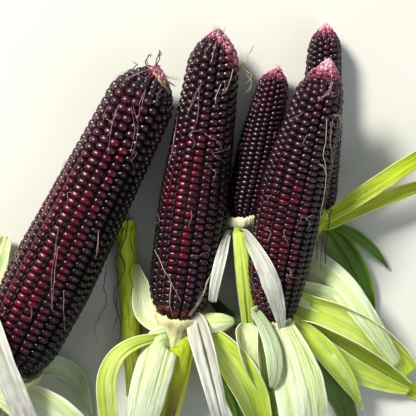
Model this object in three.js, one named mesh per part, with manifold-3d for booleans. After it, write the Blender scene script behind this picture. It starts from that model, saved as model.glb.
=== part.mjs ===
// A cut bunch of five dark maize ears with their husks drawn back, and a length of stem, lying on
// a level surface. Millimetres, +Z up, the ears' tips towards +Y, the origin under the middle.
import * as THREE from "three";
import { mergeVertices } from "three/addons/utils/BufferGeometryUtils.js";
import Module from "manifold-3d";

const wasm = await Module();
wasm.setup();

// Sizes shared by every ear, shank and husk leaf.
const GAP = 0.3; // clearance kept between pieces that touch
const MIDDLE = { x: -8.7, y: -37.7 }; // plan centre of the bunch, before it is moved over the origin
const FLUTE = 0.035; // depth of the groove between two kernel rows, as a share of the radius
const EAR_CLEARANCE = 0.008; // more clearance round an ear, as a share of its radius
const BASE_SHARE = 0.28; // radius of an ear's flat-cut base, as a share of the rounding's
const LAST_BODY_SHARE = 0.9; // radius just before the base rounds off
const TIP_POWER = 0.85; // below 1 for a blunter tip
const BOW_POWER = 0.6; // below 1 to bend an ear most near its base
const TIP_CROWDING = 1.25; // above 1 to set more rings at the tip than at the base
const EAR_STATIONS = 19; // rings along an ear
const FIRST_STATION = 0.7; // place of the first ring, in steps from the tip
const ENVELOPE_SIDES = 28; // sides of the smooth body that neighbours are cut clear of
const SHANK_SIDES = 16;
const POLE_DEPTH = 0.02; // how far an ear's base is dished out at its centre
const WELD = 1e-4; // distance within which points are one
const LEAF_STATIONS = 10; // rings along a husk leaf
const HEADING_STEPS = 40; // steps in which a leaf's turning centreline is walked
const LEAF_THICKNESS = 0.0115; // share of the leaf's length
const THINNEST_LEAF = 1.1;
const WIDE_LEAF = 12; // a wider leaf has more faces across
const CUP_BALANCE = 0.4; // share of the cup that lies below the centreline

// Each ear: the plan places of its tip and base, the heights of its axis there, its largest radius,
// its kernel rows, and the shares of its length where it rounds off and is fullest.
const EARS = [
  {
    name: "ear_1", tip: [-30.5, 89], base: [-126.2, -99], tipHeight: 27.3, baseHeight: 27.3,
    radius: 27.2, rows: 20, bow: 0, tipRound: 0.12, shoulder: 0.8, fullest: 0.72, baseRound: 0.1,
  },
  {
    name: "ear_2", tip: [6.9, 113.3], base: [-19.8, -69], tipHeight: 22.2, baseHeight: 22.2,
    radius: 22.2, rows: 18, bow: 0, tipRound: 0.13, shoulder: 0.77, fullest: 0.6, baseRound: 0.12,
  },
  {
    name: "ear_3", tip: [44.8, 91.5], base: [22.4, -7.7], tipHeight: 14.3, baseHeight: 14.3,
    radius: 14.3, rows: 16, bow: 0, tipRound: 0.16, shoulder: 0.76, fullest: 0.55, baseRound: 0.14,
  },
  {
    name: "ear_4", tip: [75.6, 119.2], base: [69.4, -3.8], tipHeight: 14, baseHeight: 14,
    radius: 14, rows: 16, bow: 0, tipRound: 0.15, shoulder: 0.8, fullest: 0.55, baseRound: 0.12,
  },
  {
    name: "ear_5", tip: [71.4, 88.2], base: [43.8, -71.5], tipHeight: 56, baseHeight: 27,
    radius: 20.8, rows: 18, bow: -7, tipRound: 0.15, shoulder: 0.74, fullest: 0.45, baseRound: 0.3,
  },
];

// Each ear's shank: its plan heading away from the ear, its length, radius and drop, and the flared
// collar that wraps the ear's base, by its radius as a share of the ear's, its length and its rise
// round the ear. The husk leaves' roots are set out along the ear's own line, which is leafHeading.
const SHANKS = [
  {
    name: "shank_1", heading: -116, leafHeading: -117, length: 62, radius: 8, drop: 18.5,
    flare: 0.84, collar: 17, rise: 6,
  },
  {
    name: "shank_2", heading: -99, leafHeading: -98, length: 88, radius: 7.6, drop: 14,
    flare: 0.62, collar: 20, rise: 3,
  },
  {
    name: "shank_3", heading: -84, leafHeading: -103, length: 34, radius: 5, drop: 8.5,
    flare: 0.86, collar: 11, rise: 5,
  },
  {
    name: "shank_4", heading: -104, leafHeading: -93, length: 36, radius: 5, drop: 8.5,
    flare: 0.8, collar: 12, rise: 7,
  },
  {
    name: "shank_5", heading: -88, leafHeading: -88, length: 66, radius: 7, drop: 19.5,
    flare: 0.5, collar: 14, rise: 4,
  },
];

// How a shank's outline swells, as shares of the collar's or the shank's own radius and length.
const SHANK_SHAPE = { rim: 0.98, throat: 0.45, throatPlace: 0.3, shoulder: 1.08, foot: 1.06 };

// The piece of stem between the two largest ears.
const STEM = {
  name: "stem", top: [-54.2, -7.8], foot: [-46.4, -122], height: 6.9, radius: 6.8, topShare: 0.96,
};
const STEM_SIDES = 14;

// Each husk leaf leaves the collar of an ear, counted from 0, at a distance below the ear's base,
// out from the axis and at a clock angle about it, 0 uppermost and 90 to the right. It sets off on a
// plan heading, turns by an angle within the share turnBy of its length, arches by its rise, highest
// at the share crest, and comes to rest at a height. Its width starts at the share neck, is whole at
// the share fullest of the length, and falls to the share tip by the power taper. Cup curls its
// edges, and lean to leanEnd tip it sideways in degrees. A leaf is cut clear of those before it.
const LEAVES = [
  {
    name: "husk_1a", ear: 0, below: -36, clock: -62, out: 32, heading: -65, turn: -18, length: 144,
    width: 16, rise: 27, rest: 4, lean: -24, neck: 0.8, tip: 0.6,
  },
  {
    name: "husk_1d", ear: 0, below: 13, clock: 44, out: 12, heading: -14, turn: -92, length: 102,
    width: 33, rise: 14, rest: 4, cup: -0.16,
  },
  {
    name: "husk_1e", ear: 0, below: 10, clock: 140, out: 14, heading: 45, turn: -118, length: 72,
    width: 13, rise: 0, rest: 4, turnBy: 0.8,
  },
  {
    name: "husk_1b", ear: 0, below: 12, clock: -133, out: 22, heading: 95, turn: -29, length: 87,
    width: 24, rise: -3, rest: 8, tip: 0.5,
  },
  {
    name: "husk_1g", ear: 0, below: 18, clock: -125, out: 7, heading: -145, turn: 53, length: 89,
    width: 24, rise: 8, rest: 4,
  },
  {
    name: "husk_2a", ear: 1, below: 12, clock: -42, out: 12, heading: -176, turn: 88, length: 112,
    width: 12.5, rise: 20, rest: 4, turnBy: 0.5, neck: 0.4, fullest: 0.55, tip: 0.3,
  },
  {
    name: "husk_2d", ear: 1, below: -1, clock: 54, out: 15, heading: -73, turn: -8, length: 116,
    width: 14, rise: 22, rest: 4, neck: 0.9, fullest: 0.12, taper: 1, tip: 0.4,
  },
  {
    name: "husk_2b", ear: 1, below: 16, clock: -32, out: 12.5, heading: -108, turn: 12, length: 90,
    width: 23, rise: 14, rest: 4, cup: -0.1, neck: 0.95, fullest: 0.2, tip: 0.4,
  },
  {
    name: "husk_2k", ear: 1, below: 17, clock: 40, out: 9.5, heading: -104, turn: 2, length: 58,
    width: 18, rise: 1, rest: 19, cup: -0.22, neck: 0.9, tip: 0.7,
  },
  {
    name: "husk_2e", ear: 1, below: 0, clock: 66, out: 13, heading: -8, turn: 16, length: 25,
    width: 12, rise: 2, rest: 27, cup: -0.25, neck: 0.8, tip: 0.3, taper: 3,
  },
  {
    name: "husk_2f", ear: 1, below: 2, clock: 86, out: 13, heading: -38, turn: -52, length: 101,
    width: 23, rise: 13, rest: 4, cup: 0.2, neck: 0.3,
  },
  {
    name: "husk_2g", ear: 1, below: 8, clock: 122, out: 8, heading: -42, turn: -46, length: 93,
    width: 12, rise: 2, rest: 4,
  },
  {
    name: "husk_2i", ear: 1, below: 5, clock: -132, out: 10.5, heading: 159, turn: -58, length: 44,
    width: 17, rise: -2, rest: 12, turnBy: 0.5, cup: 0.26, neck: 0.9, fullest: 0.3, tip: 0.1,
    taper: 1.4,
  },
  {
    name: "husk_3a", ear: 2, below: 10, clock: -33, out: 14.5, heading: -109, turn: 12, length: 44,
    width: 7, rise: 7, rest: 31, tip: 0.7,
  },
  {
    name: "husk_3c", ear: 2, below: 8, clock: 12, out: 13, heading: -58, turn: -24, length: 64,
    width: 11, rise: 26, rest: 39, crest: 0.3, lean: -35, leanEnd: 10, tip: 0.25,
  },
  {
    name: "husk_3b", ear: 2, below: 8, clock: -4, out: 12, heading: -83, turn: -2, length: 66,
    width: 11, rise: 6, rest: 16, cup: -0.14, neck: 0.8, tip: 0.7,
  },
  {
    name: "husk_4a", ear: 3, below: 2, clock: 36, out: 10, heading: 36, turn: -8, length: 109,
    width: 11, rise: 14, rest: 6, cup: 0.1, neck: 0.7,
  },
  {
    name: "husk_4b", ear: 3, below: 6, clock: 75, out: 8, heading: 29, turn: -19, length: 92, width: 9,
    rise: 10, rest: 5, neck: 0.9,
  },
  {
    name: "husk_4d", ear: 3, below: 6, clock: 90, out: 10, heading: -20, turn: -34, length: 49,
    width: 8, rise: 3, rest: 4,
  },
  {
    name: "husk_4c", ear: 3, below: 7, clock: 118, out: 8, heading: -51, turn: -23, length: 71,
    width: 17, rise: 1, rest: 4,
  },
  {
    name: "husk_5b", ear: 4, below: -9, clock: -58, out: 18, heading: -50, turn: -56, length: 46,
    width: 10, rise: 8, rest: 53, neck: 0.6, fullest: 0.6, tip: 0.3,
  },
  {
    name: "husk_5a", ear: 4, below: 0, clock: 2, out: 13, heading: -70, turn: -25, length: 115,
    width: 30, rise: 25, rest: 4, cup: -0.1, neck: 0.5, fullest: 0.36, tip: 0.4,
  },
  {
    name: "husk_5d", ear: 4, below: -38, clock: 121, out: 19, heading: -24, turn: -31, length: 92,
    width: 20, rise: 14, rest: 19, turnBy: 0.5, cup: -0.1, neck: 1, fullest: 0.1, taper: 1, tip: 0.45,
  },
  {
    name: "husk_5n", ear: 4, below: -18, clock: 86, out: 15, heading: -12, turn: -22, length: 44,
    width: 17, rise: 1, rest: 26, neck: 0.9, tip: 0.15, fullest: 0.3,
  },
  {
    name: "husk_5h", ear: 4, below: -4, clock: 62, out: 10, heading: -32, turn: -38, length: 73,
    width: 6, rise: 6, rest: 18,
  },
  {
    name: "husk_5g", ear: 4, below: 0, clock: 77, out: 8, heading: -40, turn: -22, length: 78,
    width: 10, rise: 9, rest: 12,
  },
  {
    name: "husk_5e", ear: 4, below: -11, clock: 92, out: 10, heading: -12, turn: -38, length: 92,
    width: 23, rise: 9, rest: 13, cup: 0.16, neck: 0.75, tip: 0.6,
  },
  {
    name: "husk_5k", ear: 4, below: -2, clock: 122, out: 9, heading: -48, turn: 32, length: 96,
    width: 15, rise: 6, rest: 6, tip: 0.3,
  },
  {
    name: "husk_5c", ear: 4, below: -1, clock: -84, out: 20, heading: -92, turn: 30, length: 46,
    width: 17, rise: 5, rest: 20, cup: 0.3, neck: 0.8, fullest: 0.25, tip: 0.3, taper: 1,
  },
  {
    name: "husk_5m", ear: 4, below: 5, clock: -70, out: 11, heading: -84, turn: 4, length: 40,
    width: 6, rise: 3, rest: 14, neck: 0.8, tip: 0.5,
  },
  {
    name: "husk_5f", ear: 4, below: 0, clock: 150, out: 9, heading: -26, turn: -8, length: 108,
    width: 20, rise: 0, rest: 2, tip: 0.3,
  },
  {
    name: "husk_5j", ear: 4, below: 7, clock: 133, out: 8, heading: -38, turn: -46, length: 99,
    width: 17, rise: 2, rest: 4,
  },
  {
    name: "husk_5l", ear: 4, below: 7, clock: -128, out: 10, heading: 172, turn: -62, length: 54,
    width: 8, rise: 1, rest: 4,
  },
];
const LEAF_DEFAULTS = {
  cup: 0.06, neck: 0.55, tip: 0.1, lean: 0, leanEnd: 0, turnBy: 1, crest: 0.5, fullest: 0.42,
  taper: 2,
};

const COLOURS = {
  kernels: { color: 0x3d0a18, roughness: 0.28 },
  shank: { color: 0xb9c765, roughness: 0.6 },
  stem: { color: 0xa3b91c, roughness: 0.5 },
  husk: { color: 0xd9e3b4, roughness: 0.65 },
};

const radians = THREE.MathUtils.degToRad;
const mix = THREE.MathUtils.lerp;
const smooth = (t) => t * t * (3 - 2 * t);
const arch = (t, crest) => Math.sin(Math.PI * t ** (Math.log(0.5) / Math.log(crest)));
const UP = new THREE.Vector3(0, 0, 1);

// A closed surface through rings of the same number of points. A pole closes an end that has one,
// and a flat section that is given in pairs is closed by a strip.
function loft(rings, { startPole, endPole, paired } = {}) {
  const points = rings.flat();
  const count = rings[0].length;
  const faces = [];
  const face = (a, b, c) => faces.push(a, b, c);
  for (let k = 0; k + 1 < rings.length; k++) {
    for (let i = 0; i < count; i++) {
      const j = (i + 1) % count;
      const [a, b, c, d] = [k * count + i, k * count + j, (k + 1) * count + j, (k + 1) * count + i];
      face(a, b, c);
      face(a, c, d);
    }
  }
  const last = (rings.length - 1) * count;
  const closeWithPole = (start, pole, flipped) => {
    const centre = points.push(pole) - 1;
    for (let i = 0; i < count; i++) {
      const [a, b] = [start + i, start + ((i + 1) % count)];
      flipped ? face(centre, b, a) : face(centre, a, b);
    }
  };
  const closeWithStrip = (start, flipped) => {
    for (let i = 0; i + 1 < count / 2; i++) {
      const [a, b, c, d] = [start + i, start + i + 1, start + count - 2 - i, start + count - 1 - i];
      flipped ? face(a, c, b) : face(a, b, c);
      flipped ? face(a, d, c) : face(a, c, d);
    }
  };
  if (paired) {
    closeWithStrip(0, true);
    closeWithStrip(last, false);
  } else {
    closeWithPole(0, startPole, true);
    closeWithPole(last, endPole, false);
  }
  return solidFrom(points, faces);
}

function solidFrom(points, faces) {
  const geometry = new THREE.BufferGeometry().setFromPoints(points).setIndex(faces);
  const merged = mergeVertices(geometry, WELD);
  const solid = new wasm.Manifold(
    new wasm.Mesh({
      numProp: 3,
      vertProperties: new Float32Array(merged.attributes.position.array),
      triVerts: new Uint32Array(merged.index.array),
    }),
  );
  if (solid.volume() > 0) return solid;
  const turned = faces.map((_, i) => faces[i - (i % 3) + 2 - (i % 3)]);
  return solidFrom(points, turned);
}

function geometryOf(solid) {
  const mesh = solid.getMesh();
  const geometry = new THREE.BufferGeometry();
  geometry.setAttribute("position", new THREE.BufferAttribute(mesh.vertProperties, 3));
  geometry.setIndex(new THREE.BufferAttribute(mesh.triVerts, 1));
  geometry.computeVertexNormals();
  return geometry;
}

// Radius of an ear as a share of its largest, at a share of its length from the tip: a rounded tip
// cone, a slow swell to the fullest place, a slow fall and a rounded, flat-cut base.
function earShare(ear, s) {
  const body = s < ear.fullest
    ? mix(ear.shoulder, 1, (s - ear.tipRound) / (ear.fullest - ear.tipRound))
    : mix(1, LAST_BODY_SHARE, (s - ear.fullest) / (1 - ear.fullest));
  const tip = Math.sin((Math.min(s / ear.tipRound, 1) * Math.PI) / 2) ** TIP_POWER;
  const p = Math.min((1 - s) / ear.baseRound, 1);
  const base = mix(BASE_SHARE, 1, Math.sqrt(1 - (1 - p) ** 2));
  return Math.min(body, 1) * tip * base;
}

function earFrame(ear) {
  const tip = new THREE.Vector3(...ear.tip, ear.tipHeight);
  const base = new THREE.Vector3(...ear.base, ear.baseHeight);
  const along = tip.clone().sub(base).normalize();
  const side = along.clone().cross(UP).normalize();
  const up = side.clone().cross(along);
  const centre = (s) => {
    const bow = ear.bow * Math.sin(Math.PI * (1 - s) ** BOW_POWER);
    return tip.clone().lerp(base, s).addScaledVector(side, bow);
  };
  return { tip, base, along, side, up, centre };
}

// Stations crowd towards the rounded ends of an ear.
function stationShare(k) {
  const angle = (Math.PI * (k + FIRST_STATION)) / (EAR_STATIONS - 1 + FIRST_STATION);
  return ((1 - Math.cos(angle)) / 2) ** TIP_CROWDING;
}

function earBody(ear, { sides, flute, extra }) {
  const frame = earFrame(ear);
  const ring = (s) => {
    const middle = frame.centre(s);
    const radius = ear.radius * earShare(ear, s) + extra;
    return Array.from({ length: sides }, (_, i) => {
      const angle = (2 * Math.PI * i) / sides;
      const r = radius * (i % 2 ? 1 - flute : 1);
      return middle.clone()
        .addScaledVector(frame.side, r * Math.sin(angle))
        .addScaledVector(frame.up, r * Math.cos(angle));
    });
  };
  const rings = [];
  for (let k = 0; k < EAR_STATIONS - 1; k++) rings.push(ring(stationShare(k)));
  const flat = ring(1);
  rings.push(flat.map((p) => p.addScaledVector(frame.along, -extra)));
  return loft(rings, {
    startPole: frame.tip.clone().addScaledVector(frame.along, extra),
    endPole: frame.centre(1).addScaledVector(frame.along, -extra - POLE_DEPTH),
  });
}

// A shank falls from its ear's base to its cut end, with a flared collar round the ear's base.
function shankAxis(ear, shank) {
  const { base } = earFrame(ear);
  const fall = Math.asin(shank.drop / shank.length);
  const away = new THREE.Vector3(
    Math.cos(radians(shank.heading)) * Math.cos(fall),
    Math.sin(radians(shank.heading)) * Math.cos(fall),
    -Math.sin(fall),
  );
  return { base, away };
}

function shankBody(ear, shank, extra) {
  const { base, away } = shankAxis(ear, shank);
  const wide = ear.radius * shank.flare;
  const outline = [
    [0, -shank.rise],
    [wide * SHANK_SHAPE.rim, -shank.rise],
    [wide, 0],
    [mix(wide, shank.radius, SHANK_SHAPE.throat), shank.collar * SHANK_SHAPE.throatPlace],
    [shank.radius * SHANK_SHAPE.shoulder, shank.collar],
    [shank.radius, (shank.collar + shank.length) / 2],
    [shank.radius * SHANK_SHAPE.foot, shank.length],
    [0, shank.length],
  ].map(([r, h], i, all) => {
    const end = h < 0 ? -extra : i > all.length - 3 ? extra : 0;
    return new THREE.Vector2(r ? r + extra : 0, h + end);
  });
  const geometry = new THREE.LatheGeometry(outline, SHANK_SIDES);
  geometry.deleteAttribute("normal");
  geometry.deleteAttribute("uv");
  geometry.applyQuaternion(new THREE.Quaternion().setFromUnitVectors(new THREE.Vector3(0, 1, 0), away));
  geometry.translate(base.x, base.y, base.z);
  return solidFromGeometry(geometry);
}

function solidFromGeometry(geometry) {
  const merged = mergeVertices(geometry, WELD);
  const position = merged.attributes.position;
  const point = (i) => new THREE.Vector3().fromBufferAttribute(position, i);
  const points = Array.from({ length: position.count }, (_, i) => point(i));
  return solidFrom(points, wholeFaces(merged.index.array));
}

// Faces that lost an edge at a pole are left out.
function wholeFaces(index) {
  const faces = [];
  for (let i = 0; i < index.length; i += 3) {
    const [a, b, c] = index.slice(i, i + 3);
    if (a !== b && b !== c && c !== a) faces.push(a, b, c);
  }
  return faces;
}

function stemBody(extra) {
  const top = new THREE.Vector3(...STEM.top, STEM.height);
  const foot = new THREE.Vector3(...STEM.foot, STEM.height);
  const geometry = new THREE.CylinderGeometry(
    STEM.radius * STEM.topShare + extra,
    STEM.radius + extra,
    top.distanceTo(foot) + 2 * extra,
    STEM_SIDES,
  );
  geometry.deleteAttribute("normal");
  geometry.deleteAttribute("uv");
  const along = top.clone().sub(foot).normalize();
  geometry.applyQuaternion(new THREE.Quaternion().setFromUnitVectors(new THREE.Vector3(0, 1, 0), along));
  const middle = top.lerp(foot, 0.5);
  geometry.translate(middle.x, middle.y, middle.z);
  return solidFromGeometry(geometry);
}

// The centreline of a husk leaf: it is walked in plan on its turning heading, while its height
// eases from the collar to rest and arches between.
function leafLine(leaf) {
  const ear = EARS[leaf.ear];
  const base = new THREE.Vector3(...ear.base, ear.baseHeight);
  const away = radians(SHANKS[leaf.ear].leafHeading);
  const plan = new THREE.Vector3(Math.cos(away), Math.sin(away), 0);
  const right = UP.clone().cross(plan).normalize();
  const clock = radians(leaf.clock);
  const root = base.clone()
    .addScaledVector(plan, leaf.below)
    .addScaledVector(right, leaf.out * Math.sin(clock))
    .addScaledVector(UP, leaf.out * Math.cos(clock));
  const line = [root];
  const step = leaf.length / HEADING_STEPS;
  for (let k = 1; k <= HEADING_STEPS; k++) {
    const t = k / HEADING_STEPS;
    const mid = t - 0.5 / HEADING_STEPS;
    const turned = leaf.turnBy < 1 ? smooth(Math.min(mid / leaf.turnBy, 1)) : mid;
    const heading = radians(leaf.heading + leaf.turn * turned);
    const point = line[k - 1].clone();
    point.x += step * Math.cos(heading);
    point.y += step * Math.sin(heading);
    point.z = mix(root.z, leaf.rest, smooth(t)) + leaf.rise * arch(t, leaf.crest);
    line.push(point);
  }
  return line;
}

function leafWidth(leaf, t) {
  const opening = Math.sin((Math.min(t / leaf.fullest, 1) * Math.PI) / 2);
  const closing = Math.max(0, (t - leaf.fullest) / (1 - leaf.fullest));
  const share = t < leaf.fullest ? mix(leaf.neck, 1, opening) : mix(1, leaf.tip, closing ** leaf.taper);
  return leaf.width * share;
}

function leafBody(leaf, extra) {
  const line = leafLine(leaf);
  const half = Math.max(leaf.length * LEAF_THICKNESS, THINNEST_LEAF) / 2 + extra;
  const columns = leaf.width > WIDE_LEAF ? 5 : 3;
  const rings = [];
  for (let k = 0; k < LEAF_STATIONS; k++) {
    const t = k / (LEAF_STATIONS - 1);
    const i = Math.round(t * HEADING_STEPS);
    const before = line[Math.max(i - 1, 0)];
    const after = line[Math.min(i + 1, HEADING_STEPS)];
    const along = after.clone().sub(before).normalize();
    const across = along.clone().cross(UP).normalize();
    const out = across.clone().cross(along);
    const lean = radians(mix(leaf.lean, leaf.leanEnd, t));
    const side = across.clone().multiplyScalar(Math.cos(lean)).addScaledVector(out, Math.sin(lean));
    const face = side.clone().cross(along);
    const end = k === 0 ? -extra : k === LEAF_STATIONS - 1 ? extra : 0;
    const width = leafWidth(leaf, t);
    const at = (column, level) => {
      const c = (2 * column) / (columns - 1) - 1;
      return line[i].clone()
        .addScaledVector(along, end)
        .addScaledVector(side, c * (width / 2 + extra))
        .addScaledVector(face, leaf.cup * width * (c * c - CUP_BALANCE) + level * half);
    };
    const top = Array.from({ length: columns }, (_, c) => at(c, 1));
    const under = Array.from({ length: columns }, (_, c) => at(columns - 1 - c, -1));
    rings.push([...top, ...under]);
  }
  return loft(rings, { paired: true });
}

function boxesMeet(a, b) {
  return [0, 1, 2].every((i) => a.min[i] < b.max[i] && b.min[i] < a.max[i]);
}

// A piece is cut clear of the pieces that it lies against, and its largest part is kept.
function cutClear(solid, envelopes) {
  let made = solid;
  for (const envelope of envelopes) {
    if (boxesMeet(made.boundingBox(), envelope.boundingBox())) made = made.subtract(envelope);
  }
  const parts = made.decompose();
  return parts.reduce((best, part) => (part.volume() > best.volume() ? part : best));
}

const bunch = new THREE.Group();
bunch.position.set(-MIDDLE.x, -MIDDLE.y, 0);
const envelopes = [];

function place(name, solid, envelope, look) {
  envelopes.push(envelope);
  const material = new THREE.MeshStandardMaterial({ ...COLOURS[look], metalness: 0 });
  const mesh = new THREE.Mesh(geometryOf(solid), material);
  mesh.name = name;
  bunch.add(mesh);
}

for (const ear of EARS) {
  const solid = earBody(ear, { sides: 2 * ear.rows, flute: FLUTE, extra: 0 });
  const clearance = GAP + ear.radius * EAR_CLEARANCE;
  const envelope = earBody(ear, { sides: ENVELOPE_SIDES, flute: 0, extra: clearance });
  place(ear.name, solid, envelope, "kernels");
}
SHANKS.forEach((shank, i) => {
  const solid = cutClear(shankBody(EARS[i], shank, 0), envelopes);
  place(shank.name, solid, shankBody(EARS[i], shank, GAP), "shank");
});
place(STEM.name, cutClear(stemBody(0), envelopes), stemBody(GAP), "stem");
for (const named of LEAVES) {
  const leaf = { ...LEAF_DEFAULTS, ...named };
  place(leaf.name, cutClear(leafBody(leaf, 0), envelopes), leafBody(leaf, GAP), "husk");
}

export default bunch;
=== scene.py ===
import logging
import math
import random
from collections.abc import Callable
from dataclasses import dataclass
from enum import Enum
from itertools import product

import bmesh
import bpy
import numpy as np
from mathutils import Matrix, Vector, noise


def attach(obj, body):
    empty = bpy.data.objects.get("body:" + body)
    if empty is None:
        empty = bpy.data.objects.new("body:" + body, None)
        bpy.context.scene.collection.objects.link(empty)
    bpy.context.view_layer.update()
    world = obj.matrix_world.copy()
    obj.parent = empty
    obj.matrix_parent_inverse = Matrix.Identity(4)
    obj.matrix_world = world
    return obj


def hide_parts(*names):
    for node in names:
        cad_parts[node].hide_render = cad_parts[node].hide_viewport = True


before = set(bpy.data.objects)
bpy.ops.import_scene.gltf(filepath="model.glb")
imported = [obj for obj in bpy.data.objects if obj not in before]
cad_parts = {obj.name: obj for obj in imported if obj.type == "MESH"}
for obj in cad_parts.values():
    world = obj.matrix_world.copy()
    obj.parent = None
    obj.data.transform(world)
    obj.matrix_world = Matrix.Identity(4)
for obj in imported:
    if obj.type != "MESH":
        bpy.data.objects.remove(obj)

# A cut bunch of five dark maize ears with their husks drawn back. Lengths in this script are
# millimetres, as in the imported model, and are turned into metres as a piece is finished.
LOG = logging.getLogger("maize_ears")
MM = 0.001
UP = Vector((0.0, 0.0, 1.0))
BODY = "root"
PLAN_SHIFT = Vector((8.7, 37.7, 0.0))  # place on the part of the point over which the camera stands
FLOOR_CLEARANCE = 0.35  # lowest place of a husk leaf's middle
GLOW_DEPTH = 0.003  # how far light goes into a leaf or a stalk, in metres


class Slot(Enum):
    """The record's material slots."""

    KERNELS = "kernels"
    SHANK = "shank"
    STEM = "stem"
    HUSK = "husk"


def mix(low: float, high: float, share: float) -> float:
    """Returns the value at a share of the way from low to high."""
    return low + (high - low) * share


def clamp(value: float, low: float = 0.0, high: float = 1.0) -> float:
    """Returns value kept between low and high."""
    return max(low, min(high, value))


def smooth(share: float) -> float:
    """Returns a share eased at both of its ends."""
    return share * share * (3 - 2 * share)


def wander(x: float, y: float = 0.0, z: float = 0.0) -> float:
    """Returns a smooth random value between about -1 and 1 that depends only on the place."""
    return noise.noise(Vector((x, y, z)))


def linear(code: str) -> tuple[float, float, float, float]:
    """Turns a colour code into the linear colour that the shaders take.

    Args:
        code: Six hexadecimal digits.

    Returns:
        Red, green, blue and alpha.
    """
    parts = [int(code[i : i + 2], 16) / 255 for i in (0, 2, 4)]
    parts = [p / 12.92 if p <= 0.04045 else ((p + 0.055) / 1.055) ** 2.4 for p in parts]
    return (*parts, 1.0)


class Recipe:
    """A material's node tree, put together step by step."""

    def __init__(self, name: str) -> None:
        """Starts the material.

        Args:
            name: The material's name.
        """
        self.material = bpy.data.materials.new(name)
        self.material.use_nodes = True
        self.nodes = self.material.node_tree.nodes
        self.shader = self.nodes["Principled BSDF"]

    def link(self, source: bpy.types.NodeSocket, target: bpy.types.NodeSocket) -> None:
        """Joins two sockets."""
        self.material.node_tree.links.new(source, target)

    def value(self, name: str, number: float) -> None:
        """Sets a number on the shader's own socket."""
        self.shader.inputs[name].default_value = number

    def attribute(self, name: str) -> bpy.types.Node:
        """Adds a node that reads one of the piece's own attributes.

        Args:
            name: The attribute's name.

        Returns:
            The node.
        """
        node = self.nodes.new("ShaderNodeAttribute")
        node.attribute_name = name
        return node

    def place(self) -> bpy.types.NodeSocket:
        """Returns the piece's object coordinates."""
        return self.nodes.new("ShaderNodeTexCoord").outputs["Object"]

    def grain(
        self,
        vector: bpy.types.NodeSocket,
        scale: tuple[float, float, float],
        detail: float = 2.0,
        contrast: tuple[float, float] = (0.35, 0.65),
    ) -> bpy.types.NodeSocket:
        """Adds a noise pattern that may be drawn out along an axis.

        Args:
            vector: The coordinates that it follows.
            scale: Its frequency along each axis.
            detail: How many finer layers it has.
            contrast: The noise levels that become 0 and 1.

        Returns:
            The pattern's value.
        """
        mapping = self.nodes.new("ShaderNodeMapping")
        mapping.inputs["Scale"].default_value = scale
        self.link(vector, mapping.inputs["Vector"])
        texture = self.nodes.new("ShaderNodeTexNoise")
        texture.inputs["Scale"].default_value = 1.0
        texture.inputs["Detail"].default_value = detail
        self.link(mapping.outputs["Vector"], texture.inputs["Vector"])
        levels = self.nodes.new("ShaderNodeMapRange")
        levels.inputs["From Min"].default_value = contrast[0]
        levels.inputs["From Max"].default_value = contrast[1]
        self.link(texture.outputs["Fac"], levels.inputs["Value"])
        return levels.outputs["Result"]

    def ramp(
        self, value: bpy.types.NodeSocket, stops: list[tuple[float, str]]
    ) -> bpy.types.NodeSocket:
        """Turns a value into a colour.

        Args:
            value: A value from 0 to 1.
            stops: Places and colour codes, in order.

        Returns:
            The colour.
        """
        node = self.nodes.new("ShaderNodeValToRGB")
        elements = node.color_ramp.elements
        while len(elements) < len(stops):
            elements.new(0.5)
        for element, (place, code) in zip(elements, stops):
            element.position = place
            element.color = linear(code)
        self.link(value, node.inputs["Fac"])
        return node.outputs["Color"]

    def tint(
        self, base: bpy.types.NodeSocket, code: str, amount: bpy.types.NodeSocket, most: float
    ) -> bpy.types.NodeSocket:
        """Mixes a colour over another.

        Args:
            base: The colour underneath.
            code: The colour on top.
            amount: Where the top colour shows, from 0 to 1.
            most: The greatest share of the top colour.

        Returns:
            The mixed colour.
        """
        share = self.nodes.new("ShaderNodeMath")
        share.operation = "MULTIPLY"
        share.inputs[1].default_value = most
        self.link(amount, share.inputs[0])
        node = self.nodes.new("ShaderNodeMix")
        node.data_type = "RGBA"
        factor, under, over = (node.inputs[number] for number in (0, 6, 7))
        self.link(share.outputs[0], factor)
        self.link(base, under)
        over.default_value = linear(code)
        return node.outputs[2]

    def sum(
        self, first: bpy.types.NodeSocket, second: bpy.types.NodeSocket, share: float
    ) -> bpy.types.NodeSocket:
        """Adds a share of one value to another.

        Args:
            first: The value that counts in full.
            second: The value that is added.
            share: How much of it.

        Returns:
            The sum.
        """
        node = self.nodes.new("ShaderNodeMath")
        node.operation = "MULTIPLY_ADD"
        node.inputs[1].default_value = share
        self.link(second, node.inputs[0])
        self.link(first, node.inputs[2])
        return node.outputs[0]

    def roughness(self, pattern: bpy.types.NodeSocket, low: float, high: float) -> None:
        """Lets the gloss vary with a pattern.

        Args:
            pattern: The pattern.
            low: The roughness where it is 0.
            high: The roughness where it is 1.
        """
        levels = self.nodes.new("ShaderNodeMapRange")
        levels.inputs["To Min"].default_value = low
        levels.inputs["To Max"].default_value = high
        self.link(pattern, levels.inputs["Value"])
        self.link(levels.outputs["Result"], self.shader.inputs["Roughness"])

    def relief(self, height: bpy.types.NodeSocket, depth: float, strength: float = 1.0) -> None:
        """Raises the surface by a pattern.

        Args:
            height: The pattern.
            depth: Its depth in millimetres.
            strength: How much of it shows.
        """
        node = self.nodes.new("ShaderNodeBump")
        node.inputs["Distance"].default_value = depth * MM
        node.inputs["Strength"].default_value = strength
        self.link(height, node.inputs["Height"])
        self.link(node.outputs["Normal"], self.shader.inputs["Normal"])

    def glow(self, share: float) -> None:
        """Lets a share of the light pass through the surface."""
        self.value("Subsurface Weight", share)
        self.value("Subsurface Scale", GLOW_DEPTH)

    def colour(self, source: bpy.types.NodeSocket) -> None:
        """Gives the shader its base colour."""
        self.link(source, self.shader.inputs["Base Color"])


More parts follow.
